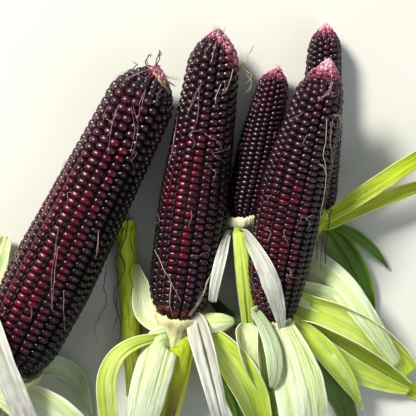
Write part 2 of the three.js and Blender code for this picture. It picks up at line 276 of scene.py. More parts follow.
@dataclass(frozen=True)
class KernelFinish:
    """A kernel's skin: from its dark foot (painted shade) past a pale rim (painted reflection) to a
    deep body and a brighter crown (painted glow of light through the skin).
    """

    name: str
    body: str
    # The crown glow is painted light shining through the skin, the rim is a painted reflection, and
    # the foot and shade are painted shade between the kernels.
    heart: str
    rim: str = ""
    gloss: float = 0.24
    sheen: float = 0.36
    foot: str = "040102"
    shade: str = "0b0606"

    def stops(self) -> list[tuple[float, str]]:
        """Lays out the ramp.

        Returns:
            The places and colours from a kernel's foot, past its rim, to its crown.
        """
        return [
            (0.0, self.foot), (0.09, self.shade), (0.14, self.rim), (0.2, self.rim),
            (0.27, self.body), (0.4, self.body), (0.82, self.heart),
        ]

    def material(self) -> bpy.types.Material:
        """Builds the material.

        Returns:
            The material.
        """
        recipe = Recipe(self.name)
        crown = recipe.attribute("crown").outputs["Fac"]
        mottle = recipe.grain(recipe.place(), scale=(520.0, 520.0, 520.0), detail=3.0)
        inside = recipe.sum(crown, mottle, share=0.06)
        base = recipe.ramp(inside, self.stops())
        recipe.colour(recipe.tint(base, self.body, mottle, most=0.3))
        recipe.roughness(mottle, low=self.gloss, high=self.gloss + 0.08)
        recipe.relief(mottle, depth=0.05, strength=0.4)
        recipe.value("Specular IOR Level", self.sheen)
        return recipe.material


@dataclass(frozen=True)
class PlumpFinish(KernelFinish):
    """The skin of a plump kernel, as on an upper ear: deeply coloured up to its edge, with painted
    shade at its foot and a painted glow at its crown.
    """

    gloss: float = 0.27
    sheen: float = 0.5

    def stops(self) -> list[tuple[float, str]]:
        """Returns the places and colours from a kernel's foot to its crown."""
        return [(0.0, self.foot), (0.16, self.body), (0.75, self.heart)]


class KernelTone(Enum):
    """The colours that kernels come in, from black to the pale ones at an ear's tip."""

    # Each tone's crown glow is painted light, and each flat tone's pale rim is a painted
    # reflection.
    SLOE = PlumpFinish("kernel_sloe", "080506", "1a0d14")
    DAMSON = PlumpFinish("kernel_damson", "0c0408", "280e1b")
    MULBERRY = PlumpFinish("kernel_mulberry", "110409", "330b1e")
    BERRY = PlumpFinish("kernel_berry", "16040b", "430a22")
    CHERRY = PlumpFinish("kernel_cherry", "1e030a", "5a0622")
    JET = KernelFinish("kernel_jet", "080406", "120b0e", "514944")
    SOOT = KernelFinish("kernel_soot", "0b0508", "240d16", "534a45")
    PLUM = KernelFinish("kernel_plum", "0e040c", "350e22", "574c48")
    WINE = KernelFinish("kernel_wine", "16050b", "38061e", "594e49")
    CRIMSON = KernelFinish("kernel_crimson", "1e030c", "4b031e", "5c504b")
    RUBY = KernelFinish("kernel_ruby", "26030d", "600224", "60534e")
    ROSE = KernelFinish("kernel_rose", "4a1028", "742541", "8b566a", 0.28)
    PINK = KernelFinish("kernel_pink", "8b4059", "b3687d", "cfa0ac", 0.32)
    BLUSH = KernelFinish("kernel_blush", "be8c9b", "dab4bd", "e0c8cd", 0.36)
    RUST = KernelFinish("kernel_rust", "3a0b0b", "7d1c1c", "7a5c50", 0.3)


# The ripe tones, from the darkest to the reddest. The second DAMSON makes red rarer.
DARK_TO_RED = (
    KernelTone.JET, KernelTone.SOOT, KernelTone.PLUM,
    KernelTone.WINE, KernelTone.CRIMSON, KernelTone.RUBY,
)
PLUMP_DARK_TO_RED = (
    KernelTone.SLOE, KernelTone.DAMSON, KernelTone.DAMSON,
    KernelTone.MULBERRY, KernelTone.BERRY, KernelTone.CHERRY,
)
# The unripe tones, each with the pallor below which it holds.
PALE_LIMITS = (
    (0.34, KernelTone.ROSE), (0.62, KernelTone.PINK), (math.inf, KernelTone.BLUSH),
)
PALE_TONES = tuple(tone for _, tone in PALE_LIMITS)


@dataclass(frozen=True)
class ChaffFinish:
    """The dark, chaffy cob between the kernels."""

    name: str = "cob_chaff"
    hollow: str = "050203"
    chaff: str = "1d0d10"

    def material(self) -> bpy.types.Material:
        """Builds the material.

        Returns:
            The material.
        """
        recipe = Recipe(self.name)
        flecks = recipe.grain(
            recipe.place(), scale=(700.0, 700.0, 700.0), detail=3.0, contrast=(0.45, 0.8)
        )
        recipe.colour(recipe.ramp(flecks, [(0.0, self.hollow), (1.0, self.chaff)]))
        recipe.relief(flecks, depth=0.3)
        recipe.value("Roughness", 0.95)
        recipe.value("Specular IOR Level", 0.1)
        return recipe.material


@dataclass(frozen=True)
class HuskFinish:
    """A husk leaf: fine lengthwise veins on a thin, slightly translucent sheet, with shading
    painted into its creases.
    """

    name: str
    root: str
    face: str
    end: str
    vein: str
    edge: str
    crease_shading: str
    rough: float = 0.5
    vein_share: float = 0.45
    depth: float = 0.16
    glow: float = 0.25
    crumple: float = 5.0
    end_at: float = 1.0

    def material(self) -> bpy.types.Material:
        """Builds the material.

        Returns:
            The material.
        """
        recipe = Recipe(self.name)
        flat = recipe.attribute("flat").outputs["Vector"]
        along = recipe.attribute("along").outputs["Fac"]
        rim = recipe.attribute("rim").outputs["Fac"]
        blotch = recipe.grain(flat, scale=(0.9, 0.3, 1.0), detail=3.0, contrast=(0.3, 0.7))
        band = recipe.grain(flat, scale=(4.5, 0.09, 1.0))
        vein = recipe.grain(flat, scale=(21.0, 0.14, 1.0), detail=3.0, contrast=(0.4, 0.68))
        place = recipe.sum(along, blotch, share=0.16)
        stops = [(0.05, self.root), (0.5 * self.end_at, self.face), (self.end_at, self.end)]
        base = recipe.ramp(place, stops)
        crease = recipe.grain(flat, scale=(1.7, 0.07, 1.0), detail=1.0, contrast=(0.46, 0.6))
        # Painted shade: the crease colour, mostly darker, is laid where the relief sinks.
        base = recipe.tint(base, self.crease_shading, crease, most=0.75)
        base = recipe.tint(base, self.vein, band, most=self.vein_share * 0.5)
        base = recipe.tint(base, self.vein, vein, most=self.vein_share)
        base = recipe.tint(base, self.edge, rim, most=0.9)
        recipe.colour(base)
        crumple = recipe.grain(flat, scale=(1.5, 0.45, 1.0))
        height = recipe.sum(recipe.sum(vein, band, share=1.6), crumple, self.crumple)
        height = recipe.sum(height, crease, -self.crumple)
        recipe.relief(height, self.depth)
        recipe.roughness(blotch, low=self.rough - 0.08, high=self.rough + 0.1)
        recipe.glow(self.glow)
        recipe.value("Specular IOR Level", 0.4)
        return recipe.material


class HuskTone(Enum):
    """The colours of the husk leaves: root, face, end, vein, edge and the shading painted into the
    creases.
    """

    PALE = HuskFinish(
        "husk_pale", "c9d79c", "e6edd3", "dfe9bb", "a9bd86", "f6f9ea", "cddd8e", glow=0.2
    )
    CREAM = HuskFinish("husk_cream", "dadfab", "ebeed0", "d9e3a4", "b0bd80", "f6f8e8", "c6d873")
    FRESH = HuskFinish("husk_fresh", "b9ca50", "cfdc84", "c3d566", "9bb23a", "eef4c6", "bfd834")
    LIME = HuskFinish("husk_lime", "a3bb0c", "b9cf2a", "9fbc12", "7f9a0a", "e0ea96", "d2e23c")
    SCORCHED = HuskFinish(
        "husk_scorched", "a3bb0c", "c2d424", "6a4420", "8a9a14", "cbb06a", "dbe63e", end_at=0.78
    )
    LEAFY = HuskFinish("husk_leafy", "6f9018", "527a16", "3f6c14", "2f550f", "8fb236", "3a6510")
    DARK = HuskFinish("husk_dark", "2c5212", "20440f", "1b3c0e", "15300a", "44701c", "16340b")
    DRY = HuskFinish(
        "husk_dry", "d2d3bf", "e0e0d8", "cfd1c2", "9c9d8e", "f2f2ec", "bcbdb2",
        rough=0.6, vein_share=0.65, depth=0.3,
    )
    # A shaded copy of the pale finish: its grey-green is painted shade.
    SHADED_PALE = HuskFinish("husk_shaded_pale", "9caf86", "bccaab", "a9ba8e", "7f966b", "dbe4cc", "8da678")


@dataclass(frozen=True)
class StalkFinish:
    """A stalk's fibrous skin, with lengthwise ribs and a few brown scars.

    It turns from the low colour to the high one between two shares of its length.
    """

    name: str
    low: str
    high: str
    fibre: str
    scar: str
    scars: float = 0.35
    rough: float = 0.42
    turn: tuple[float, float] = (0.0, 1.0)

    def material(self) -> bpy.types.Material:
        """Builds the material.

        Returns:
            The material.
        """
        recipe = Recipe(self.name)
        flat = recipe.attribute("flat").outputs["Vector"]
        along = recipe.attribute("along").outputs["Fac"]
        fibre = recipe.grain(flat, scale=(9.0, 9.0, 0.25), detail=3.0)
        patch = recipe.grain(flat, scale=(1.6, 1.6, 0.9), detail=4.0, contrast=(0.42, 0.72))
        place = recipe.sum(along, patch, share=0.3)
        base = recipe.ramp(place, [(self.turn[0], self.low), (self.turn[1], self.high)])
        base = recipe.tint(base, self.fibre, fibre, most=0.5)
        base = recipe.tint(base, self.scar, patch, most=self.scars)
        recipe.colour(base)
        recipe.relief(fibre, depth=0.2)
        recipe.roughness(patch, low=self.rough, high=self.rough + 0.2)
        recipe.glow(0.15)
        return recipe.material


@dataclass(frozen=True)
class PithFinish:
    """The cut end of a stalk: pale pith dotted with darker fibre bundles."""

    name: str = "cut_pith"
    pith: str = "d8d6a4"
    stain: str = "b9b27c"
    bundle: str = "8f9a4e"

    def material(self) -> bpy.types.Material:
        """Builds the material.

        Returns:
            The material.
        """
        recipe = Recipe(self.name)
        place = recipe.place()
        dots = recipe.grain(
            place, scale=(900.0, 900.0, 900.0), detail=1.0, contrast=(0.52, 0.62)
        )
        stain = recipe.grain(place, scale=(120.0, 120.0, 120.0), detail=3.0)
        base = recipe.ramp(stain, [(0.0, self.pith), (1.0, self.stain)])
        recipe.colour(recipe.tint(base, self.bundle, dots, most=0.75))
        recipe.relief(dots, depth=0.2)
        recipe.value("Roughness", 0.75)
        return recipe.material


@dataclass(frozen=True)
class SilkFinish:
    """A dried silk strand, mottled along its length."""

    name: str
    thread: str
    shade: str

    def material(self) -> bpy.types.Material:
        """Builds the material.

        Returns:
            The material.
        """
        recipe = Recipe(self.name)
        spots = recipe.grain(recipe.place(), scale=(160.0, 160.0, 160.0), detail=3.0)
        recipe.colour(recipe.ramp(spots, [(0.0, self.thread), (1.0, self.shade)]))
        recipe.roughness(spots, low=0.35, high=0.6)
        recipe.relief(spots, depth=0.05)
        return recipe.material


class SilkTone(Enum):
    """The colours of the silk strands."""

    PINK = SilkFinish("silk_pink", "a98a8f", "6f4b55")
    PALE = SilkFinish("silk_pale", "d6cfb4", "a89c7c")
    STRAW = SilkFinish("silk_straw", "c9cf8e", "9a9c58")
    DARK = SilkFinish("silk_dark", "2c1f1c", "5a4638")


@dataclass(frozen=True)
class FloorFinish:
    """A plain pale floor."""

    name: str = "floor_pale"
    low: str = "c9cbc4"
    high: str = "cfd0ca"

    def material(self) -> bpy.types.Material:
        """Builds the material.

        Returns:
            The material.
        """
        recipe = Recipe(self.name)
        cloud = recipe.grain(recipe.place(), scale=(6.0, 6.0, 6.0))
        recipe.colour(recipe.ramp(cloud, [(0.0, self.low), (1.0, self.high)]))
        recipe.value("Roughness", 0.9)
        return recipe.material


Finish = (
    KernelFinish | ChaffFinish | HuskFinish | StalkFinish | PithFinish | SilkFinish | FloorFinish
)


class MaterialStore:
    """Builds each finish once and hands it out."""

    def __init__(self) -> None:
        """Starts with nothing built."""
        self.made: dict[str, bpy.types.Material] = {}

    def get(self, finish: Finish) -> bpy.types.Material:
        """Hands out a finish's material, built the first time that it is asked for.

        Args:
            finish: The finish.

        Returns:
            The material.
        """
        if finish.name not in self.made:
            self.made[finish.name] = finish.material()
        return self.made[finish.name]


STORE = MaterialStore()


def finish_piece(
    piece: bpy.types.Object, nodes: tuple[str, ...] = ()
) -> bpy.types.Object:
    """Puts a finished piece on the part's body.

    Args:
        piece: The piece, in place.
        nodes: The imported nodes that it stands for.

    Returns:
        The piece.
    """
    if nodes:
        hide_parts(*nodes)
    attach(piece, BODY)
    LOG.info("%s: %d faces", piece.name, len(piece.data.polygons))
    return piece


def new_object(
    name: str, mesh: bpy.types.Mesh, materials: list[bpy.types.Material]
) -> bpy.types.Object:
    """Links a mesh to the scene as an object at the origin.

    Args:
        name: The piece's name.
        mesh: Its mesh, in metres.
        materials: Its materials, in the order of its faces' indices.

    Returns:
        The object.
    """
    for material in materials:
        mesh.materials.append(material)
    piece = bpy.data.objects.new(name, mesh)
    bpy.context.scene.collection.objects.link(piece)
    return piece


def mesh_from(shape: bmesh.types.BMesh, name: str) -> bpy.types.Mesh:
    """Turns a shape into a smooth mesh and frees the shape.

    Args:
        shape: The shape, in millimetres.
        name: The mesh's name.

    Returns:
        The mesh, in metres.
    """
    bmesh.ops.scale(shape, vec=(MM, MM, MM), verts=shape.verts)
    for face in shape.faces:
        face.smooth = True
    mesh = bpy.data.meshes.new(name)
    shape.to_mesh(mesh)
    shape.free()
    return mesh


def sort_faces(shape: bmesh.types.BMesh) -> None:
    """Sorts a shape's faces by their points, as spin and extrude leave them in any order.

    Args:
        shape: The shape.
    """
    shape.verts.index_update()
    count = len(shape.verts)

    def place(face: bmesh.types.BMFace) -> float:
        """Returns a number that no other face has."""
        numbers = [vertex.index for vertex in face.verts]
        return float((min(numbers) * count + max(numbers)) * count**2 + sum(numbers))

    shape.faces.sort(key=place)
    shape.faces.index_update()


@dataclass(frozen=True)
class KernelShape:
    """A kernel that is repeated: a dome on a rounded rectangle, with a tapered skirt.

    A higher squareness or dome makes the outline or the crown flatter with sharper corners, and
    crowding below 1 draws the grid's lines towards the rim. Every such shape has the same faces.
    """

    squareness: float = 5.0
    dome_across: float = 3.8
    dome_along: float = 4.6
    fullness: float = 0.4
    crowding: float = 0.75
    skirt: float = 0.9
    taper: float = 0.9
    # The painted light's shift and reach: they move the bright middle towards the lit left and tip,
    # and the pale rim, a painted reflection, with its dark skirt of painted shade, to the right and
    # base.
    painted_light_shift: tuple[float, float] = (-0.13, 0.16)
    painted_light_reach: float = 1.18
    pale_rim_below: float = 0.24
    foot_inside: float = 0.4
    faces_across: int = 5

    def build(self) -> tuple[np.ndarray, list[tuple[int, ...]], np.ndarray]:
        """Shapes the kernel.

        Returns:
            Its points, its faces, and how far each point lies inside the pale rim, which is
            shifted so that it is widest on the right and on the side of the ear's base. The rim
            is a painted reflection on the side away from the light, and the middle, painted
            light, is moved towards the lit left and tip.
        """
        shape = bmesh.new()
        bmesh.ops.create_grid(
            shape, x_segments=self.faces_across, y_segments=self.faces_across, size=1.0
        )
        for vertex in shape.verts:
            x, y = vertex.co.x, vertex.co.y
            reach = max(abs(x), abs(y))
            if reach > 0:
                corner = abs(x / reach) ** self.squareness + abs(y / reach) ** self.squareness
                spread = reach**self.crowding / reach * corner ** (-1 / self.squareness)
                steep_x, steep_y = self.crowding * self.dome_across, self.crowding * self.dome_along
                fall = (1 - min(abs(x) ** steep_x, 1.0)) ** self.fullness
                fall *= (1 - min(abs(y) ** steep_y, 1.0)) ** self.fullness
                vertex.co = (x * spread, y * spread, fall)
        rim = [edge for edge in shape.edges if edge.is_boundary]
        lowered = bmesh.ops.extrude_edge_only(shape, edges=rim)["geom"]
        foot = [item for item in lowered if isinstance(item, bmesh.types.BMVert)]
        bmesh.ops.scale(shape, vec=(self.taper, self.taper, 1.0), verts=foot)
        bmesh.ops.translate(shape, vec=(0.0, 0.0, -self.skirt), verts=foot)
        open_edges = [edge for edge in shape.edges if edge.is_boundary]
        bmesh.ops.contextual_create(shape, geom=open_edges)
        bmesh.ops.recalc_face_normals(shape, faces=shape.faces)
        sort_faces(shape)
        points = np.array([vertex.co[:] for vertex in shape.verts])
        faces = [tuple(vertex.index for vertex in face.verts) for face in shape.faces]
        shape.free()
        # Painted light: the rim, a painted reflection, is widest away from the light, and the skirt
        # under it gets painted shade.
        shifted = np.abs(points[:, :2] - np.array(self.painted_light_shift))
        inside = np.clip(self.painted_light_reach - shifted.max(axis=1), 0.0, 1.0)
        foot_inside = np.where(inside < self.pale_rim_below, 0.0, self.foot_inside)
        inside = np.where(points[:, 2] < -0.01, foot_inside, inside)
        return points, faces, inside


FLAT_KERNEL = KernelShape()
PLUMP_KERNEL = KernelShape(
    squareness=2.9, dome_across=2.7, dome_along=3.0, fullness=0.5, painted_light_shift=(0.0, 0.0)
)


@dataclass(frozen=True)
class FlushAndShade:
    """A stretch of an ear whose kernels are redder, or darker where its strength is below 0. The
    darker stretches on an ear's right side are painted shade, and the red on its left side is the
    kernels' own red with a painted glow of the lit side.
    """

    share: float
    clock: float
    half_length: float
    half_turn: float
    strength: float

    def at(self, share: float, clock: float) -> float:
        """Tells how strong the flush is at a place: full in its middle and fading outwards.

        Args:
            share: Place along the ear.
            clock: Clock angle in degrees.

        Returns:
            Its strength there.
        """
        lengthways = abs(share - self.share) / self.half_length
        round_it = abs((clock - self.clock + 180) % 360 - 180) / self.half_turn
        return self.strength * smooth(clamp(1.5 - lengthways)) * smooth(clamp(1.5 - round_it))


@dataclass(frozen=True)
class Pallor:
    """The pale, unripe kernels of an ear's tip, which may reach further down one side."""

    reach: float
    side: float = 0.0
    lopsided: float = 0.0
    most: float = 1.0

    def at(self, share: float, clock: float) -> float:
        """Returns how pale a kernel is, from 1 at the tip to below 0 where it is ripe."""
        extra = self.lopsided * max(0.0, math.cos(math.radians(clock - self.side)))
        return min(1 - share / self.reach + extra, self.most)


@dataclass(frozen=True)
class KernelPlace:
    """One kernel: its matrix, its tone and how plump it is."""

    matrix: Matrix
    tone: KernelTone
    plump: float


BOW_POWER = 0.6  # below 1, a bowed ear bends most near its base
TIP_POWER = 0.78  # below 1, an ear's tip is blunt
LAST_BODY_SHARE = 0.9  # an ear's width at its base before rounding, as a share of its largest
BASE_SHARE = 0.28  # the share of that width that the rounding leaves
STAND_STEP = 0.004  # share of an ear's length, each way, from which a kernel's slope is taken
STAND_TURN = 2  # degrees, each way, for the same
PALLOR_SPREAD = 0.14
RUST_FROM = 0.962  # share of an ear's length from which kernels may be rusty
RUST_CHANCE = 0.6
TONE_DRIFT = 0.9  # in steps of tone
TONE_SPREAD = 0.62
FLAT_HEIGHT = 0.52  # a kernel's height as a share of its smaller side
PLUMP_HEIGHT = 0.6
LEAN = 2.5  # degrees by which a kernel leans or turns, for each unit of looseness
ROLL = 2.0
TIP_FILL = 1.02  # a tip kernel's size as a share of the room that it has
TIP_SPACING = 0.86  # distance between the rings of a tip, as a share of a kernel's size
TIP_LOOSE = 1.8
COARSE_KERNEL = 3.2  # size from which a pale kernel at a tip is broken up into small ones
BIT_PLACES = tuple(product((-0.34, 0.0, 0.34), (-0.26, 0.26)))
BIT_SIZE = (0.42, 0.62)  # a small one's sides as shares of the whole one's
BIT_LOOSE = 2.4
ROWS_SETTLE = 7  # kernels in a row after which it runs straight
PAIRING = 0.022  # how far every two rows draw together, as a share of a row
PLUMP_FADE = 0.3  # share of an ear's length over which its kernels turn from plump to flat
PLUMP_FILL = 1.06
PLUMP_LENGTH = 1.08
FLAT_LENGTH = 1.02
TIP_PITCH_TO = 0.45  # share of an ear's length at which its kernels reach their usual pitch
WIDEST_KERNEL = 2.3  # largest width of a kernel as a multiple of its pitch


@dataclass
class Ear:
    """An ear of maize: rows of kernels round a dark cob. Clock 0 is uppermost and 90 its right.

    Tip and base are plan places, tip_round and base_round the shares of the length over which
    the ends are rounded, and shoulder the width that the body starts with behind its tip.
    """

    name: str
    tip: tuple[float, float]
    base: tuple[float, float]
    tip_height: float
    base_height: float
    radius: float
    rows: int
    tip_round: float
    shoulder: float
    fullest: float
    base_round: float
    pitch: float
    tip_kernel: float
    tip_zone: float
    seed: int
    pallor: Pallor
    flushes_and_shade: tuple[FlushAndShade, ...]
    darkness: float = 1.75
    rusty_base: bool = False
    tip_pitch: float = 1.32
    bow: float = 0.0
    twist: float = 0.0
    groove: float = 0.93
    plump_to: float = 0.42

    def __post_init__(self) -> None:
        """Works out the ear's own directions."""
        self.start = Vector((*self.tip, self.tip_height)) + PLAN_SHIFT
        self.end = Vector((*self.base, self.base_height)) + PLAN_SHIFT
        self.along = (self.start - self.end).normalized()
        self.side = self.along.cross(UP).normalized()
        self.up = self.side.cross(self.along)

    def centre(self, share: float) -> Vector:
        """Returns the axis at a share of the length from the tip."""
        bend = self.bow * math.sin(math.pi * (1 - share) ** BOW_POWER)
        return self.start.lerp(self.end, share) + self.side * bend

    def width_share(self, share: float) -> float:
        """Gives the ear's profile.

        Args:
            share: Place along the ear, 0 at its tip and 1 at its base.

        Returns:
            The radius there, as a share of the largest.
        """
        if share < self.fullest:
            grown = (share - self.tip_round) / (self.fullest - self.tip_round)
            body = mix(self.shoulder, 1.0, grown)
        else:
            body = mix(1.0, LAST_BODY_SHARE, (share - self.fullest) / (1 - self.fullest))
        tip = math.sin(min(share / self.tip_round, 1.0) * math.pi / 2) ** TIP_POWER
        inward = 1 - min((1 - share) / self.base_round, 1.0)
        base = mix(BASE_SHARE, 1.0, math.sqrt(max(0.0, 1 - inward * inward)))
        return min(body, 1.0) * tip * base

    def outward(self, angle: float) -> Vector:
        """Returns the direction from the axis at a clock angle in radians."""
        return self.side * math.sin(angle) + self.up * math.cos(angle)

    def surface(self, share: float, clock: float, lift: float = 0.0) -> Vector:
        """Returns the point of the kernels' envelope at a share and a clock angle.

        Args:
            share: Place along the ear, 0 at its tip and 1 at its base.
            clock: Angle about the axis in degrees.
            lift: Distance above the envelope.

        Returns:
            The point.
        """
        reach = self.radius * self.width_share(share) + lift
        return self.centre(share) + self.outward(math.radians(clock)) * reach

    def stand(self, share: float, clock: float) -> Matrix:
        """Gives the frame in which a kernel stands on the envelope.

        Args:
            share: Place along the ear.
            clock: Clock angle in degrees.

        Returns:
            Its axes run across the row, towards the tip, and outwards.
        """
        here = self.surface(share, clock)
        ahead = self.surface(max(share - STAND_STEP, 0.0), clock)
        forward = ahead - self.surface(min(share + STAND_STEP, 1.0), clock)
        right = self.surface(share, clock + STAND_TURN)
        across = right - self.surface(share, clock - STAND_TURN)
        outward = across.cross(forward).normalized()
        forward = (forward - outward * forward.dot(outward)).normalized()
        across = forward.cross(outward)
        turned = Matrix((across, forward, outward)).transposed().to_4x4()
        return Matrix.Translation(here) @ turned

    def profile_table(self) -> tuple[np.ndarray, np.ndarray]:
        """Measures along the surface.

        Returns:
            Shares of the length, and the distance along the surface from the tip to each.
        """
        shares = np.linspace(0.0, 1.0, 401)
        length = (self.start - self.end).length
        radii = np.array([self.radius * self.width_share(s) for s in shares])
        steps = np.hypot(np.diff(shares) * length, np.diff(radii))
        return shares, np.concatenate(([0.0], np.cumsum(steps)))

    def tone_at(self, share: float, clock: float, chance: random.Random, plump: bool) -> KernelTone:
        """Chooses a kernel's tone from the ear's flushes and its pale tip.

        Args:
            share: Place along the ear.
            clock: Clock angle in degrees.
            chance: The ear's own random numbers.
            plump: Whether the kernel is plump.

        Returns:
            The tone.
        """
        pale = self.pallor.at(share, clock) + chance.gauss(0.0, PALLOR_SPREAD)
        if pale > 0:
            return next(tone for limit, tone in PALE_LIMITS if pale < limit)
        if self.rusty_base and share > RUST_FROM and chance.random() < RUST_CHANCE:
            return KernelTone.RUST
        # The flushes add painted shade on each ear's right side and a painted glow on its left.
        level = self.darkness + sum(flush.at(share, clock) for flush in self.flushes_and_shade)
        drift = wander(share * 9, clock * 0.03, self.seed)
        level += TONE_DRIFT * drift + chance.gauss(0.0, TONE_SPREAD)
        tones = PLUMP_DARK_TO_RED if plump else DARK_TO_RED
        return tones[int(clamp(round(level), 0, len(tones) - 1))]

    def kernel(
        self,
        share: float,
        clock: float,
        width: float,
        length: float,
        chance: random.Random,
        loose: float,
        plump: float,
    ) -> KernelPlace:
        """Sets one kernel on the ear.

        Args:
            share: Place along the ear.
            clock: Clock angle in degrees.
            width: Its size across the row.
            length: Its size along the row.
            chance: The ear's own random numbers.
            loose: How far it may lean and stray.
            plump: How plump it is, from 0 to 1.

        Returns:
            The kernel.
        """
        width *= chance.uniform(1 - 0.05 * loose, 1 + 0.03 * loose)
        length *= chance.uniform(1 - 0.05 * loose, 1 + 0.03 * loose)
        height = mix(FLAT_HEIGHT, PLUMP_HEIGHT, plump) * min(length, width)
        height *= chance.uniform(0.92, 1.12)
        sink = height + chance.uniform(-0.1, 0.25) * loose
        lean = Matrix.Rotation(math.radians(chance.gauss(0.0, LEAN * loose)), 4, "X")
        roll = Matrix.Rotation(math.radians(chance.gauss(0.0, ROLL * loose)), 4, "Z")
        size = Matrix.Diagonal((width / 2, length / 2, height, 1.0))
        down = Matrix.Translation((0.0, 0.0, -sink))
        matrix = self.stand(share, clock) @ down @ roll @ lean @ size
        return KernelPlace(matrix, self.tone_at(share, clock, chance, plump > 0.5), plump)

    def tip_kernels(
        self, chance: random.Random, table: tuple[np.ndarray, np.ndarray]
    ) -> list[KernelPlace]:
        """Sets rings of small, round kernels from the tip to where the rows begin.

        Args:
            chance: The ear's own random numbers.
            table: Shares and the distance along the surface to each.

        Returns:
            The kernels.
        """
        shares, distances = table
        places: list[KernelPlace] = []
        distance = self.tip_kernel * 0.35
        last_size = (2 * math.pi * self.radius / self.rows + self.pitch) / 2 * 0.92
        while distance < self.tip_zone:
            size = mix(self.tip_kernel, last_size, (distance / self.tip_zone) ** 0.8)
            share = float(np.interp(distance, distances, shares))
            radius = self.radius * self.width_share(share)
            count = max(3, round(2 * math.pi * radius / size))
            width = 2 * math.pi * radius / count * TIP_FILL
            length = size * TIP_FILL
            turn = chance.uniform(0, 360)
            for number in range(count):
                clock = turn + (number + chance.uniform(-0.14, 0.14)) * 360 / count
                shift = chance.uniform(-0.12, 0.12) * size
                spot = float(np.interp(distance + shift, distances, shares))
                whole = self.kernel(spot, clock, width, length, chance, TIP_LOOSE, 1.0)
                if size < COARSE_KERNEL or whole.tone not in PALE_TONES:
                    places.append(whole)
                    continue
                for across, down in BIT_PLACES:
                    spot = float(np.interp(distance + shift + down * size, distances, shares))
                    turned = clock + (across + chance.uniform(-0.05, 0.05)) * 360 / count
                    sides = (width * BIT_SIZE[0], size * BIT_SIZE[1])
                    places.append(self.kernel(spot, turned, *sides, chance, BIT_LOOSE, 1.0))
            distance += size * TIP_SPACING
        return places

    def row_kernels(
        self, chance: random.Random, table: tuple[np.ndarray, np.ndarray]
    ) -> list[KernelPlace]:
        """Sets the rows of kernels down to the base.

        Args:
            chance: The ear's own random numbers.
            table: Shares and the distance along the surface to each.

        Returns:
            The kernels.
        """
        shares, distances = table
        places: list[KernelPlace] = []
        for row in range(self.rows):
            pair = PAIRING if row % 2 else -PAIRING
            distance = self.tip_zone + self.pitch * (0.5 * (row % 2) + chance.uniform(-0.2, 0.2))
            while distance < distances[-1] - self.pitch * 0.3:
                share = float(np.interp(distance, distances, shares))
                settled = smooth(clamp((distance - self.tip_zone) / (self.pitch * ROWS_SETTLE)))
                own = wander(row * 3.7 + self.seed, share * 4.0)
                shared = wander(row * 0.3 + self.seed * 1.7, share * 2.5)
                drift = own * mix(3.0, 1.1, settled) + shared * mix(3.5, 1.5, settled)
                clock = (row + pair) * 360 / self.rows + self.twist * share + drift
                radius = self.radius * self.width_share(share)
                plump = clamp((self.plump_to - share) / PLUMP_FADE + chance.uniform(0.25, 0.75))
                filled = mix(mix(1.0, self.groove, settled), PLUMP_FILL, plump)
                pitch = self.pitch * mix(self.tip_pitch, 1.0, smooth(clamp(share / TIP_PITCH_TO)))
                width = min(2 * math.pi * radius / self.rows * filled, pitch * WIDEST_KERNEL)
                length = pitch * mix(FLAT_LENGTH, PLUMP_LENGTH, plump)
                loose = mix(1.7, 0.8, settled)
                places.append(self.kernel(share, clock, width, length, chance, loose, plump))
                distance += pitch * chance.uniform(0.95, 1.05)
        return places

    def build_kernels(self) -> bpy.types.Object:
        """Joins all of the ear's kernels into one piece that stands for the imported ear.

        Returns:
            The piece.
        """
        chance = random.Random(self.seed)
        table = self.profile_table()
        places = self.tip_kernels(chance, table) + self.row_kernels(chance, table)
        points, faces, heights = FLAT_KERNEL.build()
        plump_points, _, plump_heights = PLUMP_KERNEL.build()
        tones = list(KernelTone)
        count = len(places)
        matrices = np.array([[list(row) for row in place.matrix] for place in places])
        plump = np.array([[place.plump] for place in places])
        shapes = points + plump[:, :, None] * (plump_points - points)
        padded = np.concatenate((shapes, np.ones((count, len(points), 1))), axis=2)
        moved = np.einsum("kij,knj->kni", matrices, padded)[:, :, :3].reshape(-1, 3) * MM
        corners = np.array([corner for face in faces for corner in face])
        sizes = np.array([len(face) for face in faces])
        offsets = np.repeat(np.arange(count) * len(points), len(corners))
        starts = np.concatenate(([0], np.cumsum(np.tile(sizes, count))[:-1]))
        mesh = bpy.data.meshes.new(f"{self.name}_kernels")
        mesh.vertices.add(len(moved))
        mesh.vertices.foreach_set("co", moved.ravel())
        mesh.loops.add(len(corners) * count)
        mesh.loops.foreach_set("vertex_index", np.tile(corners, count) + offsets)
        mesh.polygons.add(len(faces) * count)
        mesh.polygons.foreach_set("loop_start", starts)
        tone_numbers = np.array([tones.index(place.tone) for place in places])
        mesh.polygons.foreach_set("material_index", np.repeat(tone_numbers, len(faces)))
        mesh.update(calc_edges=True)
        mesh.validate()
        mesh.shade_smooth()
        crown = mesh.attributes.new("crown", "FLOAT", "POINT")
        crown.data.foreach_set("value", (heights + plump * (plump_heights - heights)).ravel())
        materials = [STORE.get(tone.value) for tone in tones]
        piece = new_object(f"{self.name}_kernels", mesh, materials)
        return finish_piece(piece, (self.name,))

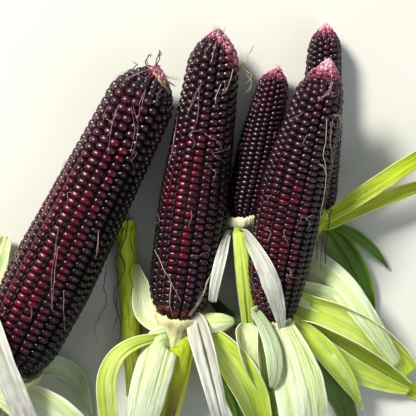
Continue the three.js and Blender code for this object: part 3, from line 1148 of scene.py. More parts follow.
    def build_cob(self, rings: int = 60, sides: int = 40) -> bpy.types.Object:
        """Builds the dark cob that shows between the kernels.

        Args:
            rings: Steps along it.
            sides: Faces round it.

        Returns:
            The piece.
        """
        cover = 0.5 * self.pitch + 0.6
        outline = [(0.0, 0.004)]
        for number in range(1, rings):
            share = number / rings
            outline.append((max(0.4, self.radius * self.width_share(share) - cover), share))
        outline += [(self.radius * BASE_SHARE * 0.6, 0.998), (0.0, 0.998)]
        shape = revolve(outline, sides)
        for vertex in shape.verts:
            reach = math.hypot(vertex.co.x, vertex.co.y)
            angle = math.atan2(vertex.co.y, vertex.co.x)
            vertex.co = self.centre(vertex.co.z) + self.outward(angle) * reach
        bmesh.ops.recalc_face_normals(shape, faces=shape.faces)
        name = f"{self.name}_cob"
        piece = new_object(name, mesh_from(shape, name), [STORE.get(ChaffFinish())])
        return finish_piece(piece)

    def build(self) -> None:
        """Builds the whole ear."""
        self.build_cob()
        self.build_kernels()


def revolve(outline: list[tuple[float, float]], steps: int) -> bmesh.types.BMesh:
    """Spins an outline round the upright axis into a closed shape.

    Args:
        outline: Radius and height of each point, starting and ending on the axis.
        steps: Faces round the shape.

    Returns:
        The shape.
    """
    shape = bmesh.new()
    points = [shape.verts.new((radius, 0.0, height)) for radius, height in outline]
    for first, second in zip(points, points[1:]):
        shape.edges.new((first, second))
    bmesh.ops.spin(
        shape,
        geom=shape.verts[:] + shape.edges[:],
        cent=(0.0, 0.0, 0.0),
        axis=(0.0, 0.0, 1.0),
        angle=math.tau,
        steps=steps,
        use_merge=True,
    )
    bmesh.ops.remove_doubles(shape, verts=shape.verts, dist=1e-4)
    bmesh.ops.recalc_face_normals(shape, faces=shape.faces)
    sort_faces(shape)
    return shape


def mark(
    shape: bmesh.types.BMesh, name: str, measure: Callable[[bmesh.types.BMVert], float]
) -> None:
    """Stores a number on every vertex.

    Args:
        shape: The shape.
        name: The attribute's name.
        measure: What gives a vertex's number.
    """
    layer = shape.verts.layers.float.get(name) or shape.verts.layers.float.new(name)
    for vertex in shape.verts:
        vertex[layer] = measure(vertex)


EASE_ROUNDS = 6  # how often a leaf's line is smoothed round its root
FREE_FROM = 0.18  # share of a leaf's length from which it is free of its collar
ROLL_FROM = 0.62  # share of half a leaf's width from which its edge may curl
RIM_FROM = 0.86  # share of half a leaf's width from which its rim is pale
LEAF_PITCH = (0.75, 1.1)  # distance of a leaf's points across it and along it


@dataclass
class HuskLeaf:
    """A husk leaf that leaves an ear's collar, arches over and comes to rest.

    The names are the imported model's own: below, clock and out place its root, heading and turn
    steer it, rise and rest give its height, and neck, tip, fullest and taper its width. Rib and
    ripple are the heights of its ribs and waves, curl rolls up its left and right edges, a ridge
    has a place across the leaf, a width and a height, and a slit a place across and a start.
    """

    name: str
    ear: Ear
    leaf_heading: float
    tone: HuskTone
    below: float
    clock: float
    out: float
    heading: float
    turn: float
    length: float
    width: float
    rise: float
    rest: float
    turn_by: float = 1.0
    crest: float = 0.5
    cup: float = 0.06
    neck: float = 0.55
    tip: float = 0.1
    lean: float = 0.0
    lean_end: float = 0.0
    fullest: float = 0.42
    taper: float = 2.0
    rib: float = 0.4
    ripple: float = 0.75
    curl: tuple[float, float] = (0.0, 0.0)
    ridges: tuple[tuple[float, float, float], ...] = ()
    slit: tuple[float, float] | None = None
    thickness: float = 0.45
    ragged: float = 1.0
    tuck: float = 0.8

    def __post_init__(self) -> None:
        """Walks the centreline once."""
        self.seed = sum(ord(letter) * (index + 3) for index, letter in enumerate(self.name)) % 97
        plan_angle = math.radians(self.leaf_heading)
        self.plan = Vector((math.cos(plan_angle), math.sin(plan_angle), 0.0))
        self.lead = self.tuck * self.out / self.length
        self.line = self.tucked_line(self.centreline())

    def centreline(self, steps: int = 120) -> list[Vector]:
        """Walks the leaf's middle line.

        Args:
            steps: Parts of the line.

        Returns:
            Its points from root to end.
        """
        right = UP.cross(self.plan)
        clock = math.radians(self.clock)
        root = self.ear.end + self.plan * self.below
        root += right * (self.out * math.sin(clock)) + UP * (self.out * math.cos(clock))
        spot = root.copy()
        crest_power = math.log(0.5) / math.log(self.crest)
        line = [root]
        for step in range(steps):
            middle = (step + 0.5) / steps
            turned = smooth(min(middle / self.turn_by, 1.0)) if self.turn_by < 1 else middle
            heading = math.radians(self.heading + self.turn * turned)
            share = (step + 1) / steps
            spot.x += math.cos(heading) * self.length / steps
            spot.y += math.sin(heading) * self.length / steps
            arch = math.sin(math.pi * share**crest_power)
            height = mix(root.z, self.rest, smooth(share)) + self.rise * arch
            line.append(Vector((spot.x, spot.y, height)))
        return line

    def tucked_line(self, line: list[Vector]) -> list[Vector]:
        """Leads the line in from inside the collar, before the leaf's root.

        Args:
            line: The middle line from the root.

        Returns:
            The line with its lead, eased round the root.
        """
        step = self.length / (len(line) - 1)
        count = max(2, round(self.lead * self.length / step))
        clock = math.radians(self.clock)
        inward = UP.cross(self.plan) * -math.sin(clock) - UP * math.cos(clock)
        depth = self.tuck * self.out
        joined = [line[0] + inward * (depth * number / count) for number in range(count, 0, -1)]
        joined += line
        self.lead_points = count
        for _ in range(EASE_ROUNDS):
            middle = joined[1:-1]
            for number in range(len(middle)):
                if number < count * 3:
                    before, spot, after = joined[number : number + 3]
                    middle[number] = (before + spot * 2 + after) / 4
            joined = [joined[0], *middle, joined[-1]]
        return joined

    def width_at(self, share: float) -> float:
        """Gives the leaf's outline.

        Args:
            share: Place along it, below 0 inside the collar.

        Returns:
            The leaf's width there.
        """
        share = max(share, 0.0)
        if share < self.fullest:
            part = mix(self.neck, 1.0, math.sin(share / self.fullest * math.pi / 2))
        else:
            past = (share - self.fullest) / (1 - self.fullest)
            part = mix(1.0, self.tip, past**self.taper)
        return self.width * part

    def section(self, share: float) -> tuple[Vector, Vector, Vector]:
        """Gives the leaf's frame.

        Args:
            share: Place along it, below 0 inside the collar.

        Returns:
            Its middle there, the direction across it and the direction that it faces.
        """
        last = len(self.line) - 1
        place = clamp(self.lead_points + share * (last - self.lead_points), 0.0, last)
        low = min(int(place), last - 1)
        middle = self.line[low].lerp(self.line[low + 1], place - low)
        before = self.line[max(low - 2, 0)]
        after = self.line[min(low + 3, last)]
        along = (after - before).normalized()
        across = along.cross(UP).normalized()
        outward = across.cross(along)
        lean = math.radians(mix(self.lean, self.lean_end, share))
        side = across * math.cos(lean) + outward * math.sin(lean)
        return middle, side, side.cross(along)

    def curled(self, cross: float) -> tuple[float, float]:
        """Gives the curl of the edge on a place's side.

        Args:
            cross: From -1 at the leaf's left edge to 1 at its right.

        Returns:
            How far the place is into the curled edge, from 0 to 1, and that edge's curl.
        """
        rolled = clamp((abs(cross) - ROLL_FROM) / (1 - ROLL_FROM))
        return rolled, self.curl[1] if cross > 0 else self.curl[0]

    def height_at(self, cross: float, share: float, width: float) -> float:
        """Gives how far the surface stands off the leaf's middle line.

        Args:
            cross: From -1 at its left edge to 1 at its right.
            share: From 0 at its root to 1 at its end.
            width: The leaf's width there.

        Returns:
            The height, of cup, ribs, waves, fluttering and curled edges, and ridges together.
        """
        edge = abs(cross)
        free = smooth(clamp(share / FREE_FROM))
        height = self.cup * width * (cross * cross - 0.4)
        lines = wander(cross * width * 0.32, share * 0.9, self.seed + 0.5)
        height += self.rib * free * lines
        waves = wander(share * self.length * 0.055, cross * 0.9, self.seed + 7.7)
        height += self.ripple * free * waves * (0.35 + 0.65 * edge * edge)
        flutter = wander(share * self.length * 0.13, math.copysign(3.0, cross), self.seed + 2.2)
        height += self.ripple * 0.7 * free * flutter * edge**3
        rolled, curl = self.curled(cross)
        height += curl * free * rolled**1.6 * width * 0.5
        for place, spread, depth in self.ridges:
            apart = (cross - place) / spread
            height += depth * free * math.exp(-apart * apart)
        return height

    def point(self, cross: float, share: float) -> Vector:
        """Returns the leaf's surface at a place across it and along it.

        Args:
            cross: From -1 at its left edge to 1 at its right.
            share: From 0 at its root to 1 at its end.

        Returns:
            The point.
        """
        edge = abs(cross)
        ragged_end = self.ragged * (0.012 + 0.02 * wander(cross * 2.4, self.seed, 3.1))
        reach = share * (1 - ragged_end * edge**1.5 - 0.5 * ragged_end)
        middle, side, face = self.section(reach)
        width = self.width_at(share)
        hem = 1 + 0.035 * self.ragged * wander(share * 9.0, self.seed, cross)
        sideways = cross * width / 2 * hem
        free = smooth(clamp(share / FREE_FROM))
        rolled, curl = self.curled(cross)
        sideways -= math.copysign(abs(curl) * free * rolled**2 * width * 0.22, cross)
        spot = middle + side * sideways + face * self.height_at(cross, share, width)
        unevenness = 0.15 * abs(wander(cross * 4, share * 20, self.seed))
        spot.z = max(spot.z, FLOOR_CLEARANCE + unevenness)
        return spot

    def grid(self) -> bmesh.types.BMesh:
        """Lays out the leaf's flat grid, with its slit if it has one.

        Returns:
            A square of side 2, across the leaf in x and along it in y.
        """
        across = max(12, round(self.width / LEAF_PITCH[0]))
        lengthways = max(30, round(self.length / LEAF_PITCH[1]))
        shape = bmesh.new()
        bmesh.ops.create_grid(shape, x_segments=across, y_segments=lengthways, size=1.0)
        if self.slit:
            place, start = self.slit
            centres = {face: face.calc_center_median() for face in shape.faces}
            torn = [
                face
                for face, spot in centres.items()
                if abs(spot.x - place) < 1 / across and spot.y > start
            ]
            bmesh.ops.delete(shape, geom=torn, context="FACES")
        return shape

    def build(self) -> bpy.types.Object:
        """Builds the leaf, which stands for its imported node.

        Returns:
            The piece.
        """
        shape = self.grid()
        flat = shape.verts.layers.float_vector.new("flat")
        along = shape.verts.layers.float.new("along")
        rim = shape.verts.layers.float.new("rim")
        for vertex in shape.verts:
            cross, share = vertex.co.x, mix(-self.lead, 1.0, (vertex.co.y + 1) / 2)
            flat_x = cross * self.width / 20 + self.seed
            vertex[flat] = Vector((flat_x, share * self.length / 10, self.seed * 0.37))
            vertex[along] = clamp(share)
            vertex[rim] = clamp((abs(cross) - RIM_FROM) / (1 - RIM_FROM)) ** 1.5
            vertex.co = self.point(cross, share)
        mesh = mesh_from(shape, self.name)
        piece = new_object(self.name, mesh, [STORE.get(self.tone.value)])
        wall = piece.modifiers.new("wall", "SOLIDIFY")
        wall.thickness = self.thickness * MM
        wall.offset = 0.0
        return finish_piece(piece, (self.name,))


@dataclass
class Shank:
    """The short stalk under an ear, flared into the collar that holds the ear's base.

    Drop is how far it falls over its length. Flare is the collar's width as a share of the ear's,
    collar its length below the ear's base and rise its height over it. Rings are the stalk's
    nodes, and gap the room between cup and ear.
    """

    name: str
    ear: Ear
    heading: float
    length: float
    radius: float
    drop: float
    flare: float
    collar: float
    rise: float
    cup_finish: StalkFinish
    stalk_finish: StalkFinish
    rings: tuple[float, ...] = (0.35, 0.62, 0.86)
    ring_width: float = 1.3
    wall: float = 1.1
    gap: float = 0.9
    clearance: float = 0.1
    sides: int = 72
    steps: int = 40

    def outline(self) -> list[tuple[float, float]]:
        """Draws half the shank's section.

        Returns:
            The radius and place of each point, from inside the cup to the foot.
        """
        wide = self.ear.radius * self.flare
        ear_length = (self.ear.start - self.ear.end).length
        points = [(0.0, self.gap), (self.ear.radius * 0.24, self.gap)]
        for number in range(9):
            rise = self.rise * number / 8
            reach = self.ear.radius * self.ear.width_share(1 - rise / ear_length) + self.gap
            points.append((clamp(reach, 0.0, wide - self.wall), 0.4 - rise))
        points.append((wide * 0.98 - self.wall * 0.4, 0.4 - self.rise))
        points += [(wide * 0.98, -self.rise), (wide, -self.rise * 0.5), (wide, 0.0)]
        for narrowing, share in ((0.2, 0.14), (0.45, 0.3), (0.72, 0.58)):
            points.append((mix(wide, self.radius, narrowing), self.collar * share))
        points.append((self.radius * 1.08, self.collar))
        straight = self.length - self.collar
        for number in range(1, self.steps):
            share = number / self.steps
            place = mix(self.collar, self.length, share)
            offsets = [(share - ring) * straight / self.ring_width for ring in self.rings]
            swell = sum(math.exp(-(offset**2)) for offset in offsets)
            points.append((self.radius * (mix(1.04, 1.0, share) + 0.13 * swell), place))
        points += [(self.radius * 1.03, self.length), (self.radius * 0.9, self.length + 0.3)]
        points += [(self.radius * 0.45, self.length - 0.4), (0.0, self.length - 0.2)]
        return points

    def wrinkle(self, shape: bmesh.types.BMesh) -> None:
        """Folds the collar, ribs the stalk and notes each point's place for the finish.

        Args:
            shape: The shank, upright.
        """
        flat = shape.verts.layers.float_vector.new("flat")
        seed = len(self.name) + self.ear.seed * 1.7
        for vertex in shape.verts:
            x, y, z = vertex.co
            reach = math.hypot(x, y)
            angle = math.atan2(y, x)
            vertex[flat] = Vector((x / 10 + seed, y / 10, z / 10))
            if reach < 0.5:
                continue
            in_cup = clamp((self.collar - z) / self.collar)
            folds = wander(math.cos(angle) * 2.6 + seed, math.sin(angle) * 2.6, z * 0.03)
            pleats = wander(math.cos(angle) * 7.0, math.sin(angle) * 7.0 + seed, z * 0.05)
            fibres = wander(math.cos(angle) * 12.0, math.sin(angle) * 12.0, z * 0.02 + seed)
            growth = folds * mix(0.35, 1.5, in_cup) + pleats * mix(0.3, 0.7, in_cup) + fibres * 0.2
            vertex.co.x += x / reach * growth
            vertex.co.y += y / reach * growth
            hem = clamp((2 - z) / (2 + self.rise))
            vertex.co.z += hem * 1.6 * pleats
        mark(shape, "along", lambda vertex: clamp(vertex.co.z / self.length))

    def build(self) -> bpy.types.Object:
        """Builds the shank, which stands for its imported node.

        Returns:
            The piece.
        """
        shape = revolve(self.outline(), self.sides)
        self.wrinkle(shape)
        for face in shape.faces:
            middle = face.calc_center_median().z
            face.material_index = 0 if middle < self.collar * 0.9 else 1
            if middle > self.length - 0.45 and abs(face.normal.z) > 0.4:
                face.material_index = 2
        fall = math.asin(self.drop / self.length)
        heading = math.radians(self.heading)
        level = math.cos(fall)
        away = Vector((math.cos(heading) * level, math.sin(heading) * level, -math.sin(fall)))
        side = away.cross(UP).normalized()
        turned = Matrix((side.cross(away), side, away)).transposed().to_4x4()
        matrix = Matrix.Translation(self.ear.end) @ turned
        bmesh.ops.transform(shape, matrix=matrix, verts=shape.verts)
        for vertex in shape.verts:
            vertex.co.z = max(vertex.co.z, self.clearance)
        finishes = [self.cup_finish, self.stalk_finish, PithFinish()]
        piece = new_object(self.name, mesh_from(shape, self.name), [STORE.get(f) for f in finishes])
        return finish_piece(piece, (self.name,))


@dataclass
class Stem:
    """The piece of stem between the two largest ears, with a node ring near its top."""

    name: str = "stem"
    top: tuple[float, float] = (-54.2, -7.8)
    foot: tuple[float, float] = (-46.4, -122.0)
    height: float = 6.9
    radius: float = 6.8
    top_share: float = 0.96
    ring: float = 0.07
    ribs: int = 17
    rib: float = 0.13
    clearance: float = 0.08
    sides: int = 56
    # The skin's dark olive low colour, towards the stem's foot, is painted shade.
    skin: StalkFinish = StalkFinish(
        "stem_skin", "2f400b", "d6ea1e", "a3bf14", "9a7a2a", 0.3, turn=(0.4, 0.8)
    )

    def outline(self, length: float, steps: int = 70) -> list[tuple[float, float]]:
        """Draws half the stem's section.

        Args:
            length: The stem's length.
            steps: Parts of its side.

        Returns:
            The radius and place of each point, from its foot to its top.
        """
        points = [(0.0, 0.2), (self.radius * 0.5, 0.5), (self.radius * 0.9, 0.0)]
        points.append((self.radius, 0.7))
        for number in range(1, steps):
            share = number / steps
            swell = math.exp(-(((share - 1 + self.ring) * length / 1.7) ** 2))
            waist = math.exp(-(((share - 1 + self.ring * 1.7) * length / 3.0) ** 2))
            width = mix(1.0, self.top_share, share) + 0.14 * swell - 0.05 * waist
            points.append((self.radius * width, share * length))
        edge = self.radius * self.top_share
        points += [(edge, length - 0.6), (edge * 0.88, length)]
        points += [(edge * 0.45, length - 0.6), (0.0, length - 0.3)]
        return points

    def build(self) -> bpy.types.Object:
        """Builds the stem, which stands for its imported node.

        Returns:
            The piece.
        """
        foot = Vector((*self.foot, self.height)) + PLAN_SHIFT
        top = Vector((*self.top, self.height)) + PLAN_SHIFT
        length = (top - foot).length
        along = (top - foot).normalized()
        shape = revolve(self.outline(length), self.sides)
        flat = shape.verts.layers.float_vector.new("flat")
        for vertex in shape.verts:
            x, y, z = vertex.co
            reach = math.hypot(x, y)
            angle = math.atan2(y, x)
            vertex[flat] = Vector((x / 10, y / 10, z / 10))
            if reach > self.radius * 0.7:
                uneven = 0.35 * wander(math.cos(angle) * 3, math.sin(angle) * 3, z * 0.02)
                growth = self.rib * math.sin(angle * self.ribs) + uneven - 0.25
                vertex.co.x += x / reach * growth
                vertex.co.y += y / reach * growth
        mark(shape, "along", lambda vertex: clamp(vertex.co.z / length))
        for face in shape.faces:
            middle = face.calc_center_median().z
            at_end = middle < 0.4 or middle > length - 0.7
            face.material_index = 1 if at_end and abs(face.normal.z) > 0.5 else 0
        side = along.cross(UP).normalized()
        turned = Matrix((side, along.cross(side), along)).transposed().to_4x4()
        bmesh.ops.transform(shape, matrix=Matrix.Translation(foot) @ turned, verts=shape.verts)
        for vertex in shape.verts:
            vertex.co.z = max(vertex.co.z, self.clearance)
        finishes = [self.skin, PithFinish()]
        piece = new_object(self.name, mesh_from(shape, self.name), [STORE.get(f) for f in finishes])
        return finish_piece(piece, (self.name,))


def smooth_path(points: list[Vector], steps: int) -> list[Vector]:
    """Draws a smooth line through points.

    Args:
        points: The points, at least two.
        steps: Parts between two points.

    Returns:
        The line's points.
    """
    line: list[Vector] = []
    ends = [points[0] * 2 - points[1], *points, points[-1] * 2 - points[-2]]
    for before, first, second, after in zip(ends, ends[1:], ends[2:], ends[3:]):
        for step in range(steps):
            t = step / steps
            line.append(
                0.5
                * (
                    first * 2
                    + (second - before) * t
                    + (before * 2 - first * 5 + second * 4 - after) * t * t
                    + (first * 3 - before - second * 3 + after) * t * t * t
                )
            )
    line.append(points[-1].copy())
    return line


Path = tuple[tuple[float, float], ...]


@dataclass(frozen=True)
class Drape:
    """Threads that hang loose at a height, through plan places measured from under the camera.

    Threads says how many run together, and spread how far apart they run.
    """

    height: float
    threads: int
    places: Path
    spread: float = 0.8


@dataclass
class SilkBundle:
    """Silk strands of one tone, joined into a piece: some lie on the ears, some hang loose.

    Parts is the number of bits between two points of a thread, ease the number of them over
    which its waves set in at either end, and thin_end its end's share of its thickness.
    """

    name: str
    tone: SilkTone
    ears: list[Ear]
    seed: int
    radius: float = 0.16
    parts: int = 7
    ease: int = 6
    wave_rate: float = 0.3
    clearance: float = 0.4
    thin_end: float = 0.45
    upper_side: float = 75.0

    def __post_init__(self) -> None:
        """Starts with no strand."""
        self.chance = random.Random(self.seed)
        self.lines: list[tuple[list[Vector], float]] = []

    def lie(self, ear: int, path: Path, threads: int, lift: float = 0.5) -> None:
        """Lays threads over an ear.

        Args:
            ear: The ear, counted from 1.
            path: Shares from its tip and clock angles.
            threads: How many run together.
            lift: Their height over the kernels.
        """
        host = self.ears[ear - 1]
        for _ in range(threads):
            points = [
                host.surface(
                    share + self.chance.gauss(0, 0.004),
                    clock + self.chance.uniform(-3.5, 3.5),
                    lift + self.chance.uniform(0, 0.5),
                )
                for share, clock in path
            ]
            self.hang(points, 0.8)

    def hang(self, points: list[Vector], wave: float) -> None:
        """Adds one wavy thread.

        Args:
            points: Points that it runs through.
            wave: The height of its waves.
        """
        line = smooth_path(points, self.parts)
        phase = self.chance.uniform(0, 50)
        for number, spot in enumerate(line):
            ease = min(number, len(line) - 1 - number, self.ease) / self.ease
            place = number * self.wave_rate
            spot.x += wave * ease * wander(place, phase)
            spot.y += wave * ease * wander(place, phase + 9)
            height = spot.z + wave * 0.5 * ease * wander(place, phase + 5)
            spot.z = max(height, self.clearance)
        self.lines.append((line, self.radius * self.chance.uniform(0.8, 1.25)))

    def drape(self, drape: Drape) -> None:
        """Hangs threads loose.

        Args:
            drape: Where they hang, and how many.
        """
        reach = drape.spread
        for _ in range(drape.threads):
            shift = Vector([self.chance.uniform(-reach, reach) for _ in range(3)])
            points = [Vector((x, y, drape.height)) + PLAN_SHIFT + shift for x, y in drape.places]
            self.hang(points, 1.0)

    def stray(self, ear: int, count: int, first: float, last: float, length: float) -> None:
        """Scatters short threads over an ear's upper side.

        Args:
            ear: The ear, counted from 1.
            count: How many.
            first: The share from the tip where they begin.
            last: The share where they end.
            length: Their length as a share of the ear's.
        """
        for _ in range(count):
            share = self.chance.uniform(first, last)
            clock = self.chance.uniform(-self.upper_side, self.upper_side)
            path = [(share, clock)]
            for _ in range(3):
                share += length / 3 * self.chance.uniform(0.6, 1.2)
                clock += self.chance.gauss(0, 9)
                path.append((share, clock))
            self.lie(ear, tuple(path), 1, 0.3)

    def tuft(self, ear: int, count: int, length: float, spread: float) -> None:
        """Stands a tuft of threads on an ear's tip.

        Args:
            ear: The ear, counted from 1.
            count: How many threads.
            length: Their length.
            spread: How far their ends lie apart, as a share of their length.
        """
        host = self.ears[ear - 1]
        for _ in range(count):
            out = host.side * self.chance.gauss(0, spread)
            out += host.up * self.chance.gauss(0, spread * 0.5)
            start = host.surface(0.012, self.chance.uniform(-180, 180))
            reach = length * self.chance.uniform(0.5, 1.0)
            middle = start + (host.along + out * 0.4) * reach * 0.5
            end = start + (host.along * 0.9 + out) * reach
            self.hang([start, middle, end], 0.3)

    def build(self) -> bpy.types.Object:
        """Builds thin closed tubes along the lines.

        Returns:
            The piece.
        """
        curve = bpy.data.curves.new(self.name, "CURVE")
        curve.dimensions = "3D"
        curve.bevel_depth = 1.0 * MM
        curve.bevel_resolution = 0
        curve.use_fill_caps = True
        for line, radius in self.lines:
            spline = curve.splines.new("POLY")
            spline.points.add(len(line) - 1)
            for number, (point, spot) in enumerate(zip(spline.points, line)):
                share = number / (len(line) - 1)
                point.co = (*(spot * MM), 1.0)
                point.radius = radius * mix(1.0, self.thin_end, share**3)
        holder = bpy.data.objects.new(self.name, curve)
        bpy.context.scene.collection.objects.link(holder)
        ready = holder.evaluated_get(bpy.context.evaluated_depsgraph_get())
        mesh = bpy.data.meshes.new_from_object(ready)
        bpy.data.objects.remove(holder)
        bpy.data.curves.remove(curve)
        mesh.materials.clear()
        mesh.shade_smooth()
        piece = new_object(self.name, mesh, [STORE.get(self.tone.value)])
        return finish_piece(piece)


# Threads on the ears: the ear, how many run together, shares from its tip with clock angles.
PINK_THREADS: tuple[tuple[int, int, Path], ...] = (
    (1, 2, ((0.155, -1), (0.206, 21), (0.273, 30))),
    (1, 2, ((0.09, 6), (0.135, 11), (0.167, 12))),
    (1, 1, ((0.167, -18), (0.225, -10), (0.307, -1))),
    (1, 1, ((0.544, -15), (0.586, -8), (0.61, 0))),
    (1, 2, ((0.509, 39), (0.559, 51), (0.578, 53))),
    (1, 2, ((0.599, -5), (0.681, 11), (0.763, 27))),
    (1, 1, ((0.697, 27), (0.75, 39), (0.821, 66))),
    (1, 2, ((0.03, -10), (0.06, -30), (0.1, -34))),
    (2, 2, ((0.058, 1), (0.093, -3), (0.138, -3))),
    (2, 2, ((0.21, -17), (0.254, -24), (0.311, -34))),
    (2, 1, ((0.219, -23), (0.313, -14), (0.39, -21))),
    (2, 2, ((0.313, -61), (0.432, -55), (0.483, -54))),
    (5, 3, ((0.083, 17), (0.116, 14), (0.159, -7))),
    (5, 2, ((0.116, 14), (0.128, 23), (0.126, 29))),
    (5, 2, ((0.214, 33), (0.29, 38), (0.38, 67))),
)
PALE_THREADS: tuple[tuple[int, int, Path], ...] = (
    (2, 1, ((0.776, -62), (0.822, -37), (0.878, -16), (0.93, 6))),
    (2, 1, ((0.881, -14), (0.937, -17), (0.99, -13))),
    (2, 1, ((0.149, 42), (0.195, 37), (0.232, 25))),
    (2, 1, ((0.21, 18), (0.239, 13), (0.268, 19))),
    (2, 3, ((0.726, 83), (0.786, 63), (0.85, 50), (0.913, 40), (0.977, 32))),
    (5, 1, ((0.211, 20), (0.273, 29), (0.331, 31), (0.404, 45), (0.52, 51), (0.615, 62))),
    (5, 3, ((0.371, 26), (0.384, 35), (0.397, 44))),
    (5, 2, ((0.19, 36), (0.208, 56), (0.282, 80))),
)
STRAY_THREADS = ((1, 16), (2, 14), (3, 7), (4, 5), (5, 12))  # ear and count
STRAW_DRAPES = (
    Drape(23.0, 6, ((19.5, 86.2), (22.0, 90.0), (25.2, 95.6), (28.9, 101.9))),
    Drape(21.0, 3, ((20.2, 87.8), (24.0, 84.6), (27.2, 80.8), (25.9, 75.8), (22.7, 72.6))),
    Drape(24.0, 2, ((20.1, 89.1), (24.5, 86.6), (27.6, 82.9), (23.2, 77.8))),
    Drape(24.0, 4, ((-26.4, 80.4), (-23.2, 78.5), (-20.1, 76.6))),
    Drape(26.0, 3, ((-26.9, 82.5), (-22.5, 81.3), (-18.1, 80.6))),
    Drape(24.0, 4, ((-27.0, 77.8), (-23.9, 74.1), (-23.2, 69.7))),
)
DARK_DRAPES = (
    Drape(
        15.5, 2,
        (
            (-51.1, -8.9), (-51.7, -17.9), (-55.6, -28.1), (-53.0, -38.3), (-56.2, -48.5),
            (-58.1, -58.8), (-57.5, -69.0), (-60.7, -79.2),
        ),
    ),
    Drape(
        15.5, 1,
        (
            (-48.5, -11.5), (-49.2, -22.4), (-46.6, -31.3), (-49.8, -39.6), (-47.9, -49.8),
            (-51.1, -60.0), (-49.8, -70.3),
        ),
    ),
    Drape(
        15.0, 1,
        (
            (-53.7, -11.5), (-56.3, -23.7), (-58.8, -34.5), (-56.9, -46.0), (-60.1, -56.9),
            (-56.9, -69.1), (-55.0, -78.0), (-58.2, -87.6),
        ),
    ),
    Drape(
        9.0, 1,
        (
            (-65.4, -34.9), (-66.7, -49.8), (-65.4, -59.5), (-69.9, -69.2), (-73.1, -75.7),
            (-71.2, -86.7),
        ),
        spread=2.0,
    ),
    Drape(
        24.0, 1,
        (
            (79.7, 10.0), (77.2, -1.3), (74.7, -15.1), (73.4, -31.4), (72.2, -48.3), (72.8, -70.3),
        ),
    ),
    Drape(30.0, 2, ((71.3, 9.9), (70.1, -2.5), (68.2, -16.7), (67.6, -33.5))),
    Drape(28.0, 1, ((76.0, 12.5), (72.8, 1.2), (75.3, -8.7), (71.0, -22.4), (69.7, -38.6))),
    Drape(34.0, 1, ((-47.3, 81.2), (-47.3, 84.8), (-44.3, 88.5), (-46.7, 90.4))),
    Drape(32.0, 2, ((-37.7, 87.1), (-37.7, 91.4), (-35.8, 94.5), (-34.6, 92.6))),
    Drape(30.0, 3, ((-32.2, 88.0), (-31.6, 91.8), (-29.8, 96.1), (-30.4, 98.0))),
    Drape(36.0, 1, ((-55.1, 78.4), (-53.9, 80.8), (-52.7, 79.0))),
)


def make_silks(ears: list[Ear]) -> list[SilkBundle]:
    """Lays out the silk strands that cling to the ears and hang between them.

    Args:
        ears: The five ears.

    Returns:
        A bundle for each tone.
    """
    pink = SilkBundle("silk_pink", SilkTone.PINK, ears, 5)
    for ear, threads, path in PINK_THREADS:
        pink.lie(ear, path, threads)
    for ear, count in STRAY_THREADS:
        pink.stray(ear, count, 0.04, 0.9, 0.05)
    pale = SilkBundle("silk_pale", SilkTone.PALE, ears, 6)
    for ear, threads, path in PALE_THREADS:
        pale.lie(ear, path, threads)
    pale.tuft(2, 16, 7.0, 0.22)
    pale.tuft(3, 5, 2.5, 0.4)
    pale.tuft(5, 5, 2.5, 0.4)
    straw = SilkBundle("silk_straw", SilkTone.STRAW, ears, 7)
    straw.lie(1, ((0.031, 3), (0.048, 30), (0.06, 62)), 3)
    for drape in STRAW_DRAPES:
        straw.drape(drape)
    dark = SilkBundle("silk_dark", SilkTone.DARK, ears, 8, radius=0.3)
    for drape in DARK_DRAPES:
        dark.drape(drape)
    return [pink, pale, straw, dark]


@dataclass(frozen=True)
class SoftLight:
    """A square soft light: its place, its side, its power in watts and its colour code."""

    name: str
    place: tuple[float, float, float]
    side: float
    power: float
    tint: str

    def build(self, aim: Vector) -> None:
        """Adds the light.

        Args:
            aim: The point that it faces.
        """
        data = bpy.data.lights.new(self.name, "AREA")
        data.shape = "SQUARE"
        data.size = self.side * MM
        data.energy = self.power
        data.color = linear(self.tint)[:3]
        lamp = bpy.data.objects.new(self.name, data)
        spot = Vector(self.place)
        lamp.location = spot * MM
        lamp.rotation_euler = (aim - spot).to_track_quat("-Z", "Y").to_euler()
        bpy.context.scene.collection.objects.link(lamp)


@dataclass
class Studio:
    """A pale floor, soft lights and the camera that looks straight down.

    Half_view is half of the width that the camera sees at view_plane's distance from it.
    """

    eye_height: float = 510.0
    half_view: float = 128.96
    view_plane: float = 480.0
    floor_size: float = 6000.0
    aim: tuple[float, float, float] = (0.0, 0.0, 20.0)
    lights: tuple[SoftLight, ...] = (
        SoftLight("key", (-1120.0, 1120.0, 1400.0), 500.0, 80.0, "fffaf0"),
        SoftLight("fill", (620.0, -420.0, 700.0), 700.0, 3.0, "f3f5ff"),
    )
    surround: str = "e6ebf0"
    surround_strength: float = 0.34

    def build_floor(self) -> None:
        """Lays the floor."""
        shape = bmesh.new()
        bmesh.ops.create_grid(shape, x_segments=1, y_segments=1, size=self.floor_size / 2)
        floor = new_object("floor", mesh_from(shape, "floor"), [STORE.get(FloorFinish())])

    def build_lights(self) -> None:
        """Adds the key and fill lights and a pale surrounding."""
        for light in self.lights:
            light.build(Vector(self.aim))
        world = bpy.data.worlds.new("surround")
        world.use_nodes = True
        background = world.node_tree.nodes["Background"]
        background.inputs["Color"].default_value = linear(self.surround)
        background.inputs["Strength"].default_value = self.surround_strength
        bpy.context.scene.world = world

    def build_camera(self) -> None:
        """Stands the camera over the bunch."""
        data = bpy.data.cameras.new("camera")
        data.sensor_width = 36.0
        data.lens = data.sensor_width / 2 * self.view_plane / self.half_view
        data.clip_start = 0.01
        camera = bpy.data.objects.new("camera", data)
        camera.location = (PLAN_SHIFT + UP * self.eye_height) * MM
        bpy.context.scene.collection.objects.link(camera)
        bpy.context.scene.camera = camera
        bpy.context.scene.view_settings.view_transform = "Standard"

    def build(self) -> None:
        """Builds the whole studio."""
        self.build_floor()
        self.build_lights()
        self.build_camera()


